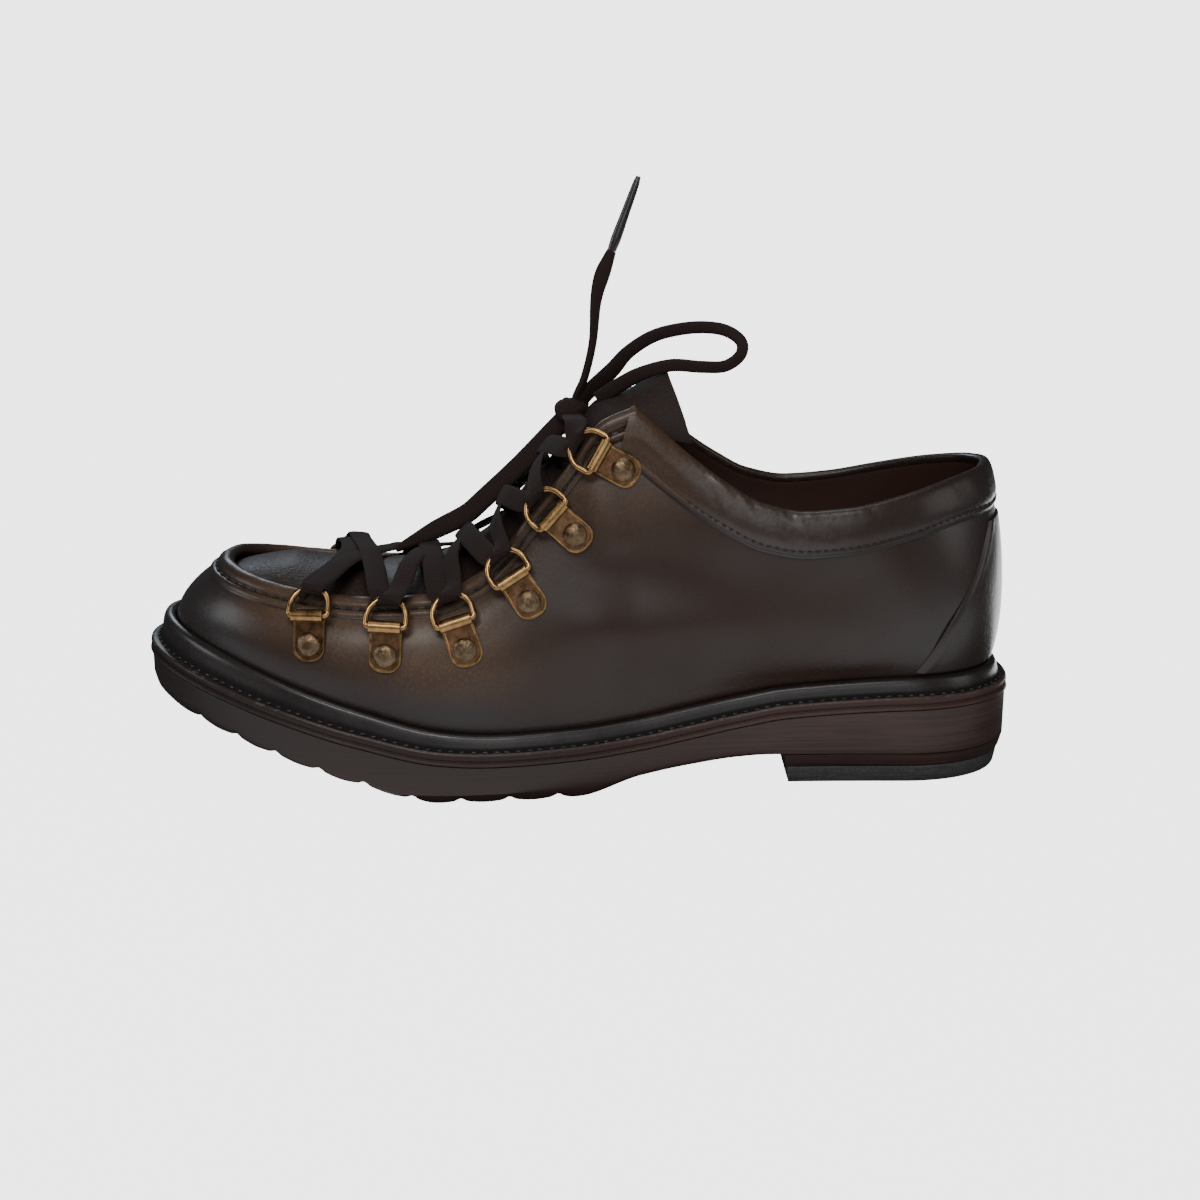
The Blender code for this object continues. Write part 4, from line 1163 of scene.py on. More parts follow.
def outsole_shape():
    """The outsole from heel to toe: sides, rounded lower edge with its lugs, and the tread."""
    sections = []
    for angle in spaced(0.0, math.pi, SOLE_COLUMNS):
        station = station_of(angle)
        rounding = SOLE_BOTTOM_INSET * HEEL_JOIN.at(station, "part")
        rounding += SOLE_TOE_INSET * max(0.0, -math.cos(angle)) ** SOLE_TOE_POWER
        lift = LUG_GROOVE_DEPTH * lug_notch(station)
        sides, beds = [], []
        for turned in (angle, -angle):
            top = sole_point(turned, SOLE_EDGE_STEP, height=-WELT_DEPTH - GAP)
            low = sole_point(turned, SOLE_EDGE_STEP, "bottom", rounding)
            side = [top.lerp(low, t) for t in spaced(0.0, 1.0, SOLE_SIDE_STEPS)]
            for quarter in (0.33, 0.66):
                turn = quarter * 0.5 * math.pi
                inset = SOLE_EDGE_STEP + rounding * (1.0 - math.cos(turn))
                side.append(sole_point(turned, inset, "bottom", rounding * (1.0 - math.sin(turn))))
            for step, point in enumerate(side):
                point.z += lift * max(0.0, (step - SOLE_SIDE_STEPS + 3.0) / 5.0)
            sides.append(side)
            beds.append(sole_point(turned, SOLE_EDGE_STEP + rounding, "bottom"))
        width = (beds[0] - beds[1]).length
        bed = []
        for t in spaced(0.0, 1.0, SOLE_ACROSS):
            point = beds[0].lerp(beds[1], t)
            point.z += tread(station, width * min(t, 1.0 - t))
            bed.append(point)
        roof = [sides[1][0].lerp(sides[0][0], t) for t in (0.25, 0.5, 0.75)]
        sections.append(sides[0] + bed + sides[1][::-1] + roof)
    return loft(sections, False)


HEEL_STEPS = 52


def heel_ring(depth, height, inset=0.0):
    """The heel's outline at a share of its depth below the outsole."""
    end = angle_of(HEEL_LENGTH - HEEL_BREAST_SLOPE * depth - inset)
    inset += SOLE_EDGE_STEP + HEEL_TAPER * depth
    angles = spaced(0.0, end, HEEL_STEPS)
    ring = [sole_point(a, inset) for a in angles] + [sole_point(-a, inset) for a in reversed(angles[1:])]
    for point in ring:
        point.z = height
    return ring


def heel_shapes():
    """The heel block and the top lift under it."""
    top = SOLE.at(0.0, "bottom")
    joint = 1.0 - LIFT_HEIGHT / top
    step = LIFT_STEP / HEEL_TAPER
    block_rows = ((0.0, top - GAP, 0.0), (0.3 * joint, top - 1.6, 0.0),
                  (0.8 * joint, LIFT_HEIGHT + 1.2, 0.0), (joint, LIFT_HEIGHT + 0.5, 0.1),
                  (joint, LIFT_HEIGHT + 0.2, 0.4))
    lift_rows = ((joint + step, LIFT_HEIGHT, 0.3), (joint + step, LIFT_HEIGHT - 0.3, 0.0),
                 (0.8, 3.0, 0.0), (0.98, 0.7, 0.0), (1.0, 0.2, 0.2), (1.0, 0.0, 0.7))
    return [loft([heel_ring(*row) for row in rows], False) for rows in (block_rows, lift_rows)]


def joined(shapes):
    """Several shapes in one mesh."""
    whole = bmesh.new()
    for shape in shapes:
        mesh = bpy.data.meshes.new("part")
        shape.to_mesh(mesh)
        shape.free()
        whole.from_mesh(mesh)
        bpy.data.meshes.remove(mesh)
    return whole


def ring_frames():
    """Each lace ring's name, the frame of its plate (across, to the rim, out) and that of the ring."""
    frames = []
    for number, rivet_station, rivet_height, ring_station, ring_height, _ in RING_ROWS:
        for label, side, drop in (("outer", -1.0, 0.0), ("inner", 1.0, INNER_DROP)):
            angle, share = place_on_wall(side, rivet_station, rivet_height - drop)
            rim_angle, rim_share = place_on_wall(side, ring_station, ring_height - drop)
            normal = wall_frame(angle, share)[1]
            ahead = wall(rim_angle, rim_share) - wall(angle, share)
            ahead = (ahead - normal * ahead.dot(normal)).normalized()
            axes = Matrix((ahead.cross(normal), ahead, normal)).transposed().to_4x4()
            place = skin(angle, share, PLATE_STAND) * MM
            matrix = Matrix.Translation(place) @ axes @ Matrix.Rotation(PLATE_TILT, 4, "X")
            turn = Matrix.Translation(ROLL_CENTRE * MM) @ Matrix.Rotation(-RING_LEAN[label], 4, "X")
            frames.append((f"{label}_{number}", matrix, matrix @ turn))
    return frames


ROLL_FROM = math.radians(-90.0)
ROLL_TO = math.radians(212.0)
BORDER_WIDTH = 0.6
BORDER_DEPTH = 0.16


def plate_shape(matrix):
    """A strip rolled round the ring's bar, with a rounded tail and a raised border round its flat."""
    turns = spaced(ROLL_FROM, ROLL_TO, 20)
    profile = [Vector((0.0, -PLATE_TAIL, 0.0))]
    for radius, order in ((ROLL_RADIUS, turns), (ROLL_BORE, turns[::-1])):
        profile += [ROLL_CENTRE + radius * Vector((0.0, math.cos(t), math.sin(t))) for t in order]
    profile.append(Vector((0.0, -PLATE_TAIL, PLATE_METAL)))
    half = Vector((0.5 * PLATE_WIDTH, 0.0, 0.0))
    bm = bmesh.new()
    face = bm.faces.new([bm.verts.new((point - half) * MM) for point in profile])
    pulled = bmesh.ops.extrude_face_region(bm, geom=[face])["geom"]
    moved = [item for item in pulled if isinstance(item, bmesh.types.BMVert)]
    bmesh.ops.translate(bm, verts=moved, vec=half * (2.0 * MM))
    tail = (0.01 - PLATE_TAIL) * MM
    upright = [edge for edge in bm.edges if abs(edge.verts[0].co.x - edge.verts[1].co.x) < MERGE]
    corners = [edge for edge in upright if all(vert.co.y < tail for vert in edge.verts)]
    bmesh.ops.bevel(bm, geom=corners, offset=PLATE_CORNER * MM, segments=9, profile=0.5,
                    affect="EDGES", material=-1)
    bmesh.ops.recalc_face_normals(bm, faces=bm.faces)
    flat = [face for face in bm.faces if all(abs(v.co.z - PLATE_METAL * MM) < MERGE for v in face.verts)]
    bmesh.ops.inset_region(bm, faces=flat, thickness=BORDER_WIDTH * MM, depth=0.0, use_even_offset=True)
    bmesh.ops.inset_region(bm, faces=flat, thickness=0.25 * MM, depth=-BORDER_DEPTH * MM,
                           use_even_offset=True)
    for face in flat:
        face.material_index = 1
    bmesh.ops.transform(bm, matrix=matrix, verts=bm.verts)
    return bm


# Rivet's head: share of the radius, and height
RIVET_PROFILE = (
    (1.03, 0.0), (1.05, 0.35), (0.97, 0.75), (0.86, 1.05), (0.66, 1.45), (0.4, 1.72), (0.0, 1.82),
)
RIVET_DENT = 0.13
RIVET_LIFT = 0.02         # of the head off its plate


def rivet_shape(matrix, seed):
    """A domed head, turned from its profile and dented a little by the hammer."""
    bm = spun([(share * RIVET_RADIUS * MM, height * MM) for share, height in RIVET_PROFILE], 28)
    bmesh.ops.holes_fill(bm, edges=[edge for edge in bm.edges if edge.is_boundary])
    bmesh.ops.recalc_face_normals(bm, faces=bm.faces)
    for vert in bm.verts:
        dent = noise.noise(vert.co * 520.0 + Vector((seed * 7.3, 0.0, 0.0)))
        vert.co.z += RIVET_DENT * MM * dent * min(1.0, vert.co.z / MM)
    on_plate = Matrix.Translation((0.0, 0.0, (PLATE_METAL + RIVET_LIFT) * MM))
    bmesh.ops.transform(bm, matrix=matrix @ on_plate, verts=bm.verts)
    return bm


RING_SIDES = 12
RING_CORNER = 1.2


def ring_shape(matrix):
    """A D of round wire: a half round, two sides, and the bar in the plate's roll."""
    arc = [Vector((RING_HALF * math.cos(t), RING_SIDE + RING_HALF * math.sin(t), 0.0))
           for t in spaced(0.0, math.pi, 44)]
    bar = RING_HALF - RING_CORNER
    corner = [Vector((bar + RING_CORNER * math.sin(t), RING_CORNER * (1.0 - math.cos(t)), 0.0))
              for t in spaced(0.0, 0.5 * math.pi, 7)]
    mirrored = [Vector((-point.x, point.y, 0.0)) for point in reversed(corner)]
    path = arc + mirrored + [Vector((x, 0.0, 0.0)) for x in (-0.5 * bar, 0.0, 0.5 * bar)] + corner
    sections = []
    for i, point in enumerate(path):
        ahead = path[(i + 1) % len(path)] - path[i - 1]
        beside = ahead.cross(UP).normalized()
        sections.append([point + (beside * math.cos(t) + UP * math.sin(t)) * RING_WIRE
                         for t in round_turns(RING_SIDES)])
    bm = loft(sections, True)
    bmesh.ops.transform(bm, matrix=matrix, verts=bm.verts)
    return bm


BRAID_SIDES = 18


def run_of(points):
    return sum((b - a).length for a, b in zip(points, points[1:]))


def heading(points, i):
    return (points[min(i + 1, len(points) - 1)] - points[max(i - 1, 0)]).normalized()


def braid(points, sides, width, thickness):
    """A flat braid along points. Sides are the directions of its width, widths may change along it."""
    widths = width if isinstance(width, list) else [width] * len(points)
    sections = []
    for i, point in enumerate(points):
        ahead = heading(points, i)
        side = (sides[i] - ahead * sides[i].dot(ahead)).normalized()
        rise = side.cross(ahead)
        section = []
        for turn in round_turns(BRAID_SIDES):
            across = math.copysign(abs(math.cos(turn)) ** 0.7, math.cos(turn))
            up = math.copysign(abs(math.sin(turn)) ** 0.85, math.sin(turn))
            section.append(point + side * (0.5 * widths[i] * across) + rise * (0.5 * thickness * up))
        sections.append(section)
    return loft(sections, False, (0.1 * run_of(points), 1.0))


def lace_eyes(frames):
    """Where the lace passes each ring: its strand on the toe side and its strand on the heel side."""
    eyes = {}
    places = [Vector((side * LACE_SPREAD, RING_SIDE + RING_HALF, 0.0)) for side in (-1.0, 1.0)]
    for label, _, ring_frame in frames:
        rise = UP * (INNER_DROP if label.startswith("inner") else 0.0)
        eyes[label] = sorted((ring_frame @ (place * MM) / MM + rise for place in places), key=lambda p: p.x)
    return eyes


WRAP_OFFSET = 1.5         # the two strands at a ring, to each side of its middle
BAR_BOW = 3.5             # of the lace between the two first rings
BAR_SLANT = 9.0           # of the same lace towards the heel
BOW_SKEW = 0.5            # sets the highest part of a bow nearer to the outer side
OTHER = {"outer": "inner", "inner": "outer"}


def ring_wrap(ring_frame, thickness):
    """The lace round the arc of a ring: in under its wire, up through the ring and out over the wire."""
    across = ring_frame.col[0].to_3d()
    toe_side = -WRAP_OFFSET if across.x > 0.0 else WRAP_OFFSET
    radius = RING_WIRE + 0.5 * thickness + 0.12
    controls = []
    for part in spaced(0.0, 1.0, 4):
        turn = -math.pi * (0.5 + part)
        x = toe_side * (1.0 - 2.0 * part)
        y = RING_SIDE + math.sqrt(RING_HALF ** 2 - x * x) + radius * math.cos(turn)
        point = ring_frame @ (Vector((x, y, radius * math.sin(turn))) * MM) / MM
        controls.append((point, across))
    return controls


def strip_controls(start, end, up, bow, hump):
    """The lace between two rings, bowed over the tongue and humped where it crosses the other strand."""
    side = (end - start).cross(up).normalized()
    skew = math.copysign(BOW_SKEW, end.y - start.y)
    controls = []
    for t in spaced(0.0, 1.0, 6):
        part = t + skew * t * (1.0 - t)
        rise = 4.0 * bow * part * (1.0 - part) + hump * bell(t - 0.5, LACE_HUMP_SHARE)
        controls.append((start.lerp(end, t) + up * rise, side))
    return controls


def lace_half(label, frames, eyes, thickness):
    """One half of the lace, from the middle of the bar between the first rings to the knot."""
    ring_at = {name: ring_frame for name, _, ring_frame in frames}
    first, second = eyes[f"{label}_1"][0], eyes[f"{OTHER[label]}_1"][0]
    controls = []
    for t in (0.5, 0.36, 0.22, 0.1):
        bow = Vector((BAR_SLANT, 0.0, BAR_BOW)) * (4.0 * t * (1.0 - t))
        controls.append((first.lerp(second, t) + bow, Vector((1.0, 0.0, 0.0))))
    for number, *_, bow in RING_ROWS:
        controls += ring_wrap(ring_at[f"{label}_{number}"], thickness)
        near = eyes[f"{label}_{number}"][1]
        if number == RING_COUNT:
            break
        far = eyes[f"{OTHER[label]}_{number + 1}"][0]
        ahead = Vector()
        for each in OTHER:
            ahead += eyes[f"{each}_{number + 1}"][0] - eyes[f"{each}_{number}"][1]
        up = Vector((-ahead.z, 0.0, ahead.x)).normalized()
        short = (far - near).normalized() * LACE_CLEAR
        step = 0.0 if label == "outer" else 0.5 * thickness
        controls += strip_controls(near + short + up * (LACE_OVER + step),
                                   far - short + up * (LACE_LEVEL + step), up, bow, LACE_HUMP[label])
        label = OTHER[label]
    ahead = (KNOT_CENTRE - near).normalized()
    end = KNOT_CENTRE - ahead * KNOT_TUCK
    side = ahead.cross(UP)
    start = near + ahead * LACE_CLEAR + UP * LACE_OVER
    return controls + [(start, side), (start.lerp(end, 0.5), side), (end, side)]


LACE_STEPS = 6


def smooth_controls(controls, steps):
    """A smooth curve through control points, with their width directions turned along it."""
    sides = [controls[0][1]]
    for _, side in controls[1:]:
        sides.append(side if side.dot(sides[-1]) >= 0.0 else -side)
    points = smooth_route([point for point, _ in controls], steps)
    turned = []
    for before, after in zip(sides, sides[1:]):
        turned += [before.lerp(after, i / steps) for i in range(steps)]
    return points, turned + [sides[-1]]


def lacing_shape(frames):
    """The whole lace through the rings, from the knot down one side and up the other."""
    width, thickness = sizes().lace_width / MM, sizes().lace_thickness / MM
    eyes = lace_eyes(frames)
    halves = [lace_half(label, frames, eyes, thickness) for label in ("outer", "inner")]
    points, sides = smooth_controls(halves[0][:0:-1] + halves[1], LACE_STEPS)
    return braid(points, sides, width, thickness)


BRIDGE_THICKNESS = 2.6
BRIDGE_TAPER = Table("share part", (0.0, 0.3), (0.08, 0.62), (0.2, 0.95), (0.3, 1.0), (1.0, 1.0))


def bridge_shape():
    """The strand over the middle, from the knot down to the crossings."""
    points = smooth_route(BRIDGE_ROUTE, 14)
    faces = Vector((-0.3, -0.9, 0.3))
    sides = [(points[-1] - points[0]).cross(faces)] * len(points)
    width, last = sizes().bridge_width / MM, len(points) - 1
    spread = [width * BRIDGE_TAPER.at(i / last, "part") for i in range(last + 1)]
    return braid(points, sides, spread, BRIDGE_THICKNESS)


# Wraps of the knot: axis, radius, width and shift along the axis
KNOT_WRAPS = (
    ((0.72, -0.10, 0.68), 4.7, 5.4, -0.6),
    ((-0.20, -0.30, 0.93), 4.2, 4.6, 0.6),
    ((0.30, 0.80, 0.50), 4.3, 4.2, 0.0),
)


def knot_shape():
    """The knot: a soft core with the lace wrapped round it."""
    core = bmesh.new()
    bmesh.ops.create_uvsphere(core, u_segments=24, v_segments=14, radius=MM)
    bmesh.ops.scale(core, vec=KNOT_SIZE * 0.78, verts=core.verts)
    bmesh.ops.translate(core, vec=KNOT_CENTRE * MM, verts=core.verts)
    shapes = [core]
    for axis, radius, width, shift in KNOT_WRAPS:
        axis = Vector(axis).normalized()
        across = axis.cross(UP).normalized()
        up = across.cross(axis)
        points = []
        for turn in spaced(0.0, 1.06 * TURN, 40):
            place = across * math.cos(turn) + up * math.sin(turn)
            points.append(KNOT_CENTRE + axis * (shift + 0.15 * turn) + place * (radius + 0.08 * turn))
        shapes.append(braid(points, [axis] * len(points), width, 1.6))
    return joined(shapes)


def free_braid(route, steps, widths, twist):
    """A free stretch of the lace: its path, and a braid that turns along it, seen flat from the side."""
    points = smooth_route(route, steps)
    last = len(points) - 1
    flat = Vector((0.0, -1.0, 0.0))
    sides, spread = [], []
    for i in range(last + 1):
        ahead = heading(points, i)
        turn = Matrix.Rotation(twist.at(i / last, "turn"), 3, ahead)
        sides.append(turn @ ahead.cross(flat).normalized())
        spread.append(widths.at(i / last, "width"))
    return points, braid(points, sides, spread, sizes().loop_thickness / MM)


LOOP_WIDTHS = Table("share width", (0.0, 5.4), (0.10, 5.8), (0.22, 4.6), (0.6, 4.0), (0.8, 4.3), (0.9, 5.0),
                    (1.0, 5.2))
LOOP_TWIST = Table("share turn", (0.0, 0.6), (0.12, 0.3), (0.3, 0.1), (0.6, -0.2), (1.0, 0.1))
END_WIDTHS = Table("share width", (0.0, 3.6), (0.4, 3.2), (0.7, 4.4), (0.85, 5.2), (1.0, 3.2))
END_TWIST = Table("share turn", (0.0, 0.9), (0.5, 1.0), (0.8, 0.2), (1.0, 0.0))
AGLET_PROFILE = Table("share radius", (0.0, 1.45), (0.15, 1.7), (0.5, 1.45), (0.9, 1.15), (1.0, 0.75))


def aglet_shape(start):
    """The hard tip of the lace: a tapered round tube with a rounded end."""
    ahead = (AGLET_TIP - start).normalized()
    across = ahead.cross(Vector((0.0, 1.0, 0.0))).normalized()
    up = across.cross(ahead)
    sections = []
    for share in spaced(0.0, 1.0, 24):
        radius = AGLET_PROFILE.at(share, "radius")
        middle = start.lerp(AGLET_TIP, share)
        sections.append([middle + (across * math.cos(t) + up * (0.8 * math.sin(t))) * radius
                         for t in round_turns(14)])
    return loft(sections, False)


SEAM_SAMPLES = 1200
STITCH_TURN = 0.16        # most that a stitch lies askew, in radians
STITCH_LENGTHS = (0.88, 1.1)


def paced(place, start, end, pitch):
    """Angles at equal steps along a curve that is given by its angle."""
    angles = spaced(start, end, SEAM_SAMPLES)
    found, run, due = [], 0.0, 0.5 * pitch
    before = place(angles[0])
    for angle in angles[1:]:
        point = place(angle)
        run += (point - before).length
        if run >= due:
            found.append(angle)
            due += pitch
        before = point
    return found


def stitch_shape(places, length, thickness, seed):
    """A row of short threads, each with its middle, its direction and the surface's normal."""
    draw = random.Random(seed)
    bm = bmesh.new()
    for point, along, normal in places:
        along = (along - normal * along.dot(normal)).normalized()
        along = Matrix.Rotation(draw.uniform(-STITCH_TURN, STITCH_TURN), 3, normal) @ along
        half = 0.5 * length * draw.uniform(*STITCH_LENGTHS)
        axes = Matrix((along * half, normal.cross(along) * (0.5 * thickness), normal * (0.5 * thickness)))
        matrix = Matrix.Translation(point * MM) @ (axes.transposed() * MM).to_4x4()
        bmesh.ops.create_uvsphere(bm, u_segments=7, v_segments=5, radius=1.0, matrix=matrix)
    return bm


STITCH_LOOK = 0.004       # angle ahead for a stitch's direction
RIM_SEAM = 4.8            # distance of the rim's stitched groove from its edge
RIM_SEAM_HEIGHT = 0.55
RIM_SEAM_END = 0.02
RIM_PITCH = 4.4
BAND_SEAM = 0.90          # share of the band's width
BAND_SEAM_HEIGHT = 1.0
BAND_SEAM_END = 0.10
BAND_PITCH = 2.7
WELT_SEAM = Vector((0.30, -0.70, 0.16))
WELT_PITCH = 3.7


def seam(place, normal, start, end, pitch):
    """Middle, direction and normal of each stitch along a curve that is given by its angle."""
    angles = paced(place, start, end, pitch)
    return [(place(a), place(a + STITCH_LOOK) - place(a), normal(a)) for a in angles]


def seam_below_rim(depth, height, start, end, pitch):
    """A seam at a depth below the rim or the top line."""
    return seam(lambda a: near_rim(a, depth(a), height),
                lambda a: wall_frame(a, share_below(a, depth(a)))[1], start, end, pitch)


def rim_stitches():
    start = THROAT + RIM_SEAM_END
    return seam_below_rim(lambda angle: RIM_SEAM, RIM_SEAM_HEIGHT, start, TURN - start, RIM_PITCH)


def band_stitches():
    end = THROAT - BAND_SEAM_END
    return seam_below_rim(lambda angle: BAND_SEAM * BACK.at(abs(angle), "band"), BAND_SEAM_HEIGHT,
                          -end, end, BAND_PITCH)


def welt_stitches():
    return seam(lambda angle: welt_point(angle, WELT_SEAM),
                lambda angle: (UP - inward(angle) * 0.5).normalized(), 0.0, TURN, WELT_PITCH)


# Camera, by the photograph's view: place in metres, tilt below level and lens
CAMERA_PLACE = (0.0076, -0.574, 0.2074)
CAMERA_TILT = math.radians(14.8)
CAMERA_LENS = 51.0

# Soft lights: name, place and target in metres, width and depth in metres, watts, colour
LIGHT_ROWS = (
    ("front_box", (-0.10, -0.90, 0.85), (0.0, 0.0, 0.06), 0.55, 0.28, 8.0, (1.0, 0.98, 0.95)),
    ("front_fill", (0.00, -1.50, 0.40), (0.0, 0.0, 0.05), 1.40, 0.60, 0.9, (0.95, 0.97, 1.0)),
    ("eye_box", (0.16, -1.30, 0.44), (0.03, 0.0, 0.08), 0.64, 0.26, 1.7, (0.90, 0.95, 1.0)),
    ("window", (-0.42, 1.20, 0.93), (-0.08, 0.0, 0.06), 0.46, 0.40, 4.8, (0.78, 0.89, 1.0)),
    ("left_fill", (-1.25, -0.30, 0.58), (-0.10, 0.0, 0.05), 0.50, 0.60, 4.6, (0.92, 0.96, 1.0)),
    ("right_fill", (1.20, -0.60, 0.45), (0.10, 0.0, 0.05), 0.50, 0.70, 2.7, (1.0, 0.98, 0.96)),
    ("floor_bounce", (-0.10, -0.23, 0.003), (-0.1, -0.23, 0.5), 1.00, 0.36, 1.4, (0.92, 0.96, 1.0)),
    ("rear_bounce", (0.22, 0.27, 0.003), (0.22, 0.27, 0.5), 0.50, 0.40, 2.5, (0.96, 0.98, 1.0)),
    ("top_box", (0.05, -0.10, 1.20), (0.0, 0.0, 0.05), 0.60, 0.40, 4.0, (0.95, 0.98, 1.0)),
)
WORLD_COLOUR = (0.055, 0.058, 0.063)
FLOOR_GLOW = 3.5
FLOOR_WALL = 1.6          # height to which the ground curves up at its edge, in metres
FLOOR_DROP = 0.0002       # of the ground under the sole, in metres


def make_floor():
    """A pale ground that curves up far behind the shoe."""
    reach = sizes().floor_reach
    profile = [(0.0, -FLOOR_DROP), (reach, -FLOOR_DROP)]
    for turn in spaced(0.0, 0.5 * math.pi, 12)[1:]:
        profile.append((reach + FLOOR_WALL * math.sin(turn), FLOOR_WALL * (1.0 - math.cos(turn))))
    bm = spun(profile, 64)
    bmesh.ops.recalc_face_normals(bm, faces=bm.faces)
    ground = add_mesh("ground", bm, pale_floor())
    ground.visible_glossy = False
    ground.visible_diffuse = False


def make_lights():
    for name, place, target, width, depth, watts, colour in LIGHT_ROWS:
        lamp = bpy.data.lights.new(name, "AREA")
        lamp.shape = "RECTANGLE"
        lamp.size = width
        lamp.size_y = depth
        lamp.energy = watts
        lamp.color = colour
        light = add_object(name, lamp)
        light.location = place
        light.visible_camera = False
        light.rotation_euler = (Vector(target) - Vector(place)).to_track_quat("-Z", "Y").to_euler()
    world = bpy.data.worlds.new("studio")
    world.use_nodes = True
    world.node_tree.nodes["Background"].inputs["Color"].default_value = (*WORLD_COLOUR, 1.0)
    bpy.context.scene.world = world


def make_camera():
    lens = bpy.data.cameras.new("view")
    lens.lens = CAMERA_LENS
    lens.clip_start = 0.01
    camera = add_object("view", lens)
    camera.location = CAMERA_PLACE
    camera.rotation_euler = (0.5 * math.pi - CAMERA_TILT, 0.0, 0.0)
    bpy.context.scene.camera = camera


class SHOE_OT_stage(bpy.types.Operator):
    """Sets the camera, the soft lights and the pale ground"""

    bl_idname = "shoe.stage"
    bl_label = "Stage"

    def execute(self, context):
        make_camera()
        make_lights()
        make_floor()
        return {"FINISHED"}


def route_metres(points):
    return [tuple(point * MM) for point in points]


class SHOE_OT_free_lace(bpy.types.Operator):
    """Makes the knot, the loop, the standing end and its hard tip"""

    bl_idname = "shoe.free_lace"
    bl_label = "Free lace"

    def execute(self, context):
        knot = add_piece("lace_knot_wraps", knot_shape(), lace_braid(), "lace", ["lace_knot"])
        points, shape = free_braid(LOOP_ROUTE, 8, LOOP_WIDTHS, LOOP_TWIST)
        loop = add_piece("lace_bow_loop", shape, lace_braid(), "lace", ["lace_loop"])
        tuple(points[0] * MM)
        run_of(points) * MM
        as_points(route_metres(points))
        points, shape = free_braid(END_ROUTE, 8, END_WIDTHS, END_TWIST)
        end = add_piece("lace_free_end", shape, lace_braid(), "lace", ["lace_end"])
        tip = add_piece("lace_tip", aglet_shape(points[-1]), aglet_wax(), "lace", ["lace_aglet"])
        tuple(points[0] * MM)
        run_of(points) * MM
        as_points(route_metres(points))
        return {"FINISHED"}


class SHOE_OT_upper(bpy.types.Operator):
    """Makes the leather upper and its lining"""

    bl_idname = "shoe.upper"
    bl_label = "Upper and lining"

    def execute(self, context):
        add_piece("upper_leather", upper_shape(), burnished_leather(), "leather", ["upper"])
        add_piece("upper_lining", lining_shape(), lining_leather(), "lining")
        return {"FINISHED"}


class SHOE_OT_tongue(bpy.types.Operator):
    """Makes the plug over the toes and the tongue"""

    bl_idname = "shoe.tongue"
    bl_label = "Plug and tongue"

    def execute(self, context):
        tongue = add_piece("plug_and_tongue", tongue_shape(), plug_leather(), "leather", ["tongue"])
        thicken(tongue, TONGUE_THICKNESS, 0.0, 0.7)
        return {"FINISHED"}


class SHOE_OT_overlays(bpy.types.Operator):
    """Makes the rolled rim, the padded collar band and the back strap"""

    bl_idname = "shoe.overlays"
    bl_label = "Rim, band and strap"

    def execute(self, context):
        add_piece("rolled_rim", rim_shape(), rim_leather(), "leather", ["facing_rim"])
        band = add_piece("padded_band", band_shape(), band_leather(), "leather", ["collar_band"])
        add_piece("back_strap", strap_shape(), burnished_leather(), "leather", ["heel_counter"])
        return {"FINISHED"}


class SHOE_OT_sole(bpy.types.Operator):
    """Makes the insole, welt, outsole, heel and top lift"""

    bl_idname = "shoe.sole"
    bl_label = "Welt, sole and heel"

    def execute(self, context):
        insole = add_piece("inner_sole", insole_shape(), lining_leather(), "lining", ["insole"])
        thicken(insole, INSOLE_THICKNESS - 1.0, -1.0, 0.4)
        add_piece("storm_welt", welt_shape(), welt_rubber(), "welt", ["welt"], 60.0)
        add_piece("lugged_sole", outsole_shape(), sole_rubber(), "sole", ["outsole"])
        block, lift = heel_shapes()
        add_piece("heel_stack", block, sole_rubber(), "sole", ["heel_block"])
        add_piece("heel_top_lift", lift, lift_rubber(), "lift", ["heel_lift"])
        return {"FINISHED"}


class SHOE_OT_rings(bpy.types.Operator):
    """Makes the plates, rivets and D-rings of the lacing"""

    bl_idname = "shoe.rings"
    bl_label = "Lace rings"

    def execute(self, context):
        for seed, (label, plate_frame, ring_frame) in enumerate(ring_frames()):
            plate = add_piece(f"plate_{label}", plate_shape(plate_frame), ring_brass(), "brass",
                              [f"ring_plate_{label}"], 32.0)
            plate.data.materials.append(plate_copper())
            round_edges(plate, 0.14, 2, 40.0)
            add_piece(f"rivet_head_{label}", rivet_shape(plate_frame, seed), rivet_brass(), "brass",
                      [f"rivet_{label}"])
            add_piece(f"d_ring_{label}", ring_shape(ring_frame), ring_brass(), "brass",
                      [f"lace_ring_{label}"])
        return {"FINISHED"}


class SHOE_OT_lacing(bpy.types.Operator):
    """Runs the lace through the rings and lays the middle strand"""

    bl_idname = "shoe.lacing"
    bl_label = "Lacing"

    def execute(self, context):
        crossings = [f"lace_crossing_{number}" for number in range(1, RING_COUNT)]
        add_piece("lace_through_rings", lacing_shape(ring_frames()), lace_braid(), "lace",
                  crossings + ["lace_tie_outer", "lace_tie_inner"])
        add_piece("lace_middle_strand", bridge_shape(), lace_braid(), "lace", ["lace_bridge"])
        return {"FINISHED"}


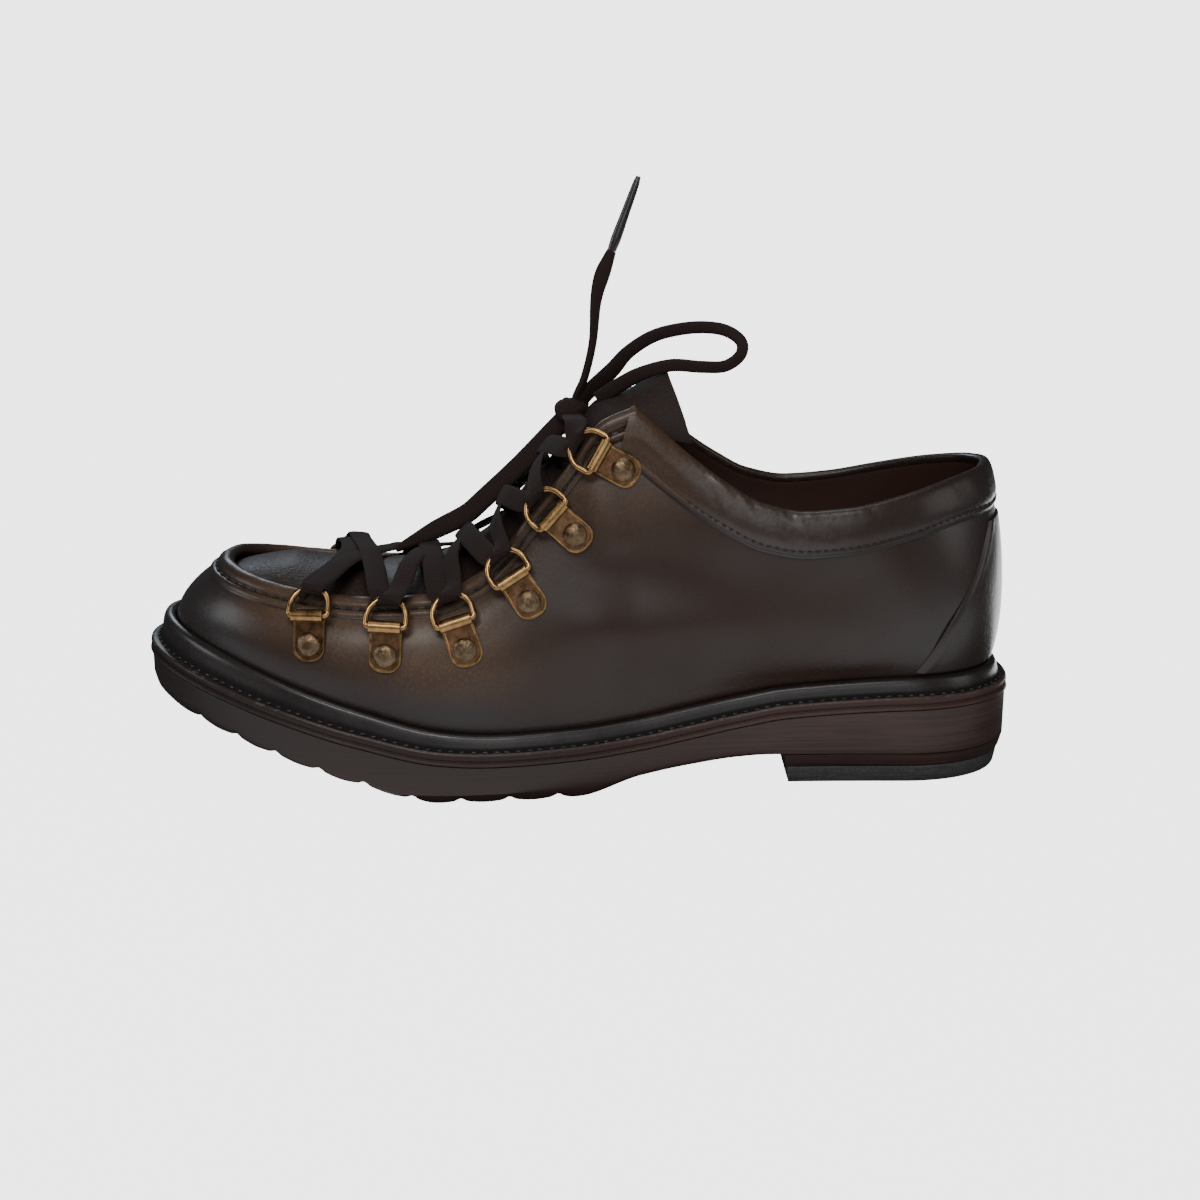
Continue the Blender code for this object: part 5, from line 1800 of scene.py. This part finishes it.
class SHOE_OT_stitches(bpy.types.Operator):
    """Sews the rim, the collar band and the welt"""

    bl_idname = "shoe.stitches"
    bl_label = "Stitches"

    def execute(self, context):
        size = sizes()
        rows = (
            ("rim_stitches", rim_stitches(), size.rim_stitch, 1.0, dark_thread(), "leather"),
            ("band_stitches", band_stitches(), size.band_stitch, 0.6, dark_thread(), "leather"),
            ("welt_stitches", welt_stitches(), size.welt_stitch, 0.7, welt_thread(), "welt"),
        )
        for seed, (name, places, length, thickness, thread, slot) in enumerate(rows):
            add_piece(name, stitch_shape(places, length / MM, thickness, seed), thread, slot)
        return {"FINISHED"}


OPERATORS = (SHOE_OT_stage, SHOE_OT_free_lace, SHOE_OT_lacing, SHOE_OT_upper, SHOE_OT_tongue,
             SHOE_OT_overlays, SHOE_OT_sole, SHOE_OT_rings, SHOE_OT_stitches)


class SHOE_PT_looks(bpy.types.Panel):
    """Lists the pieces of the shoe with their colours and sizes"""

    bl_idname = "SHOE_PT_looks"
    bl_label = "Laced shoe"
    bl_space_type = "VIEW_3D"
    bl_region_type = "UI"
    bl_category = "Shoe"

    def draw(self, context):
        for group in (context.scene.shoe_colours, context.scene.shoe_sizes):
            column = self.layout.column()
            for name in group.__annotations__:
                column.prop(group, name)
        for operator in OPERATORS:
            self.layout.operator(operator.bl_idname)


CLASSES = (ShoeColours, ShoeSizes) + OPERATORS + (SHOE_PT_looks,)


def register():
    for each in CLASSES:
        bpy.utils.register_class(each)
    bpy.types.Scene.shoe_colours = bpy.props.PointerProperty(type=ShoeColours)
    bpy.types.Scene.shoe_sizes = bpy.props.PointerProperty(type=ShoeSizes)


def unregister():
    del bpy.types.Scene.shoe_colours
    del bpy.types.Scene.shoe_sizes
    for each in reversed(CLASSES):
        bpy.utils.unregister_class(each)


def main():
    register()
    bpy.ops.shoe.stage()
    bpy.ops.shoe.free_lace()
    bpy.ops.shoe.lacing()
    bpy.ops.shoe.upper()
    bpy.ops.shoe.tongue()
    bpy.ops.shoe.overlays()
    bpy.ops.shoe.sole()
    bpy.ops.shoe.rings()
    bpy.ops.shoe.stitches()
    bpy.context.view_layer.update()


if __name__ == "__main__":
    main()
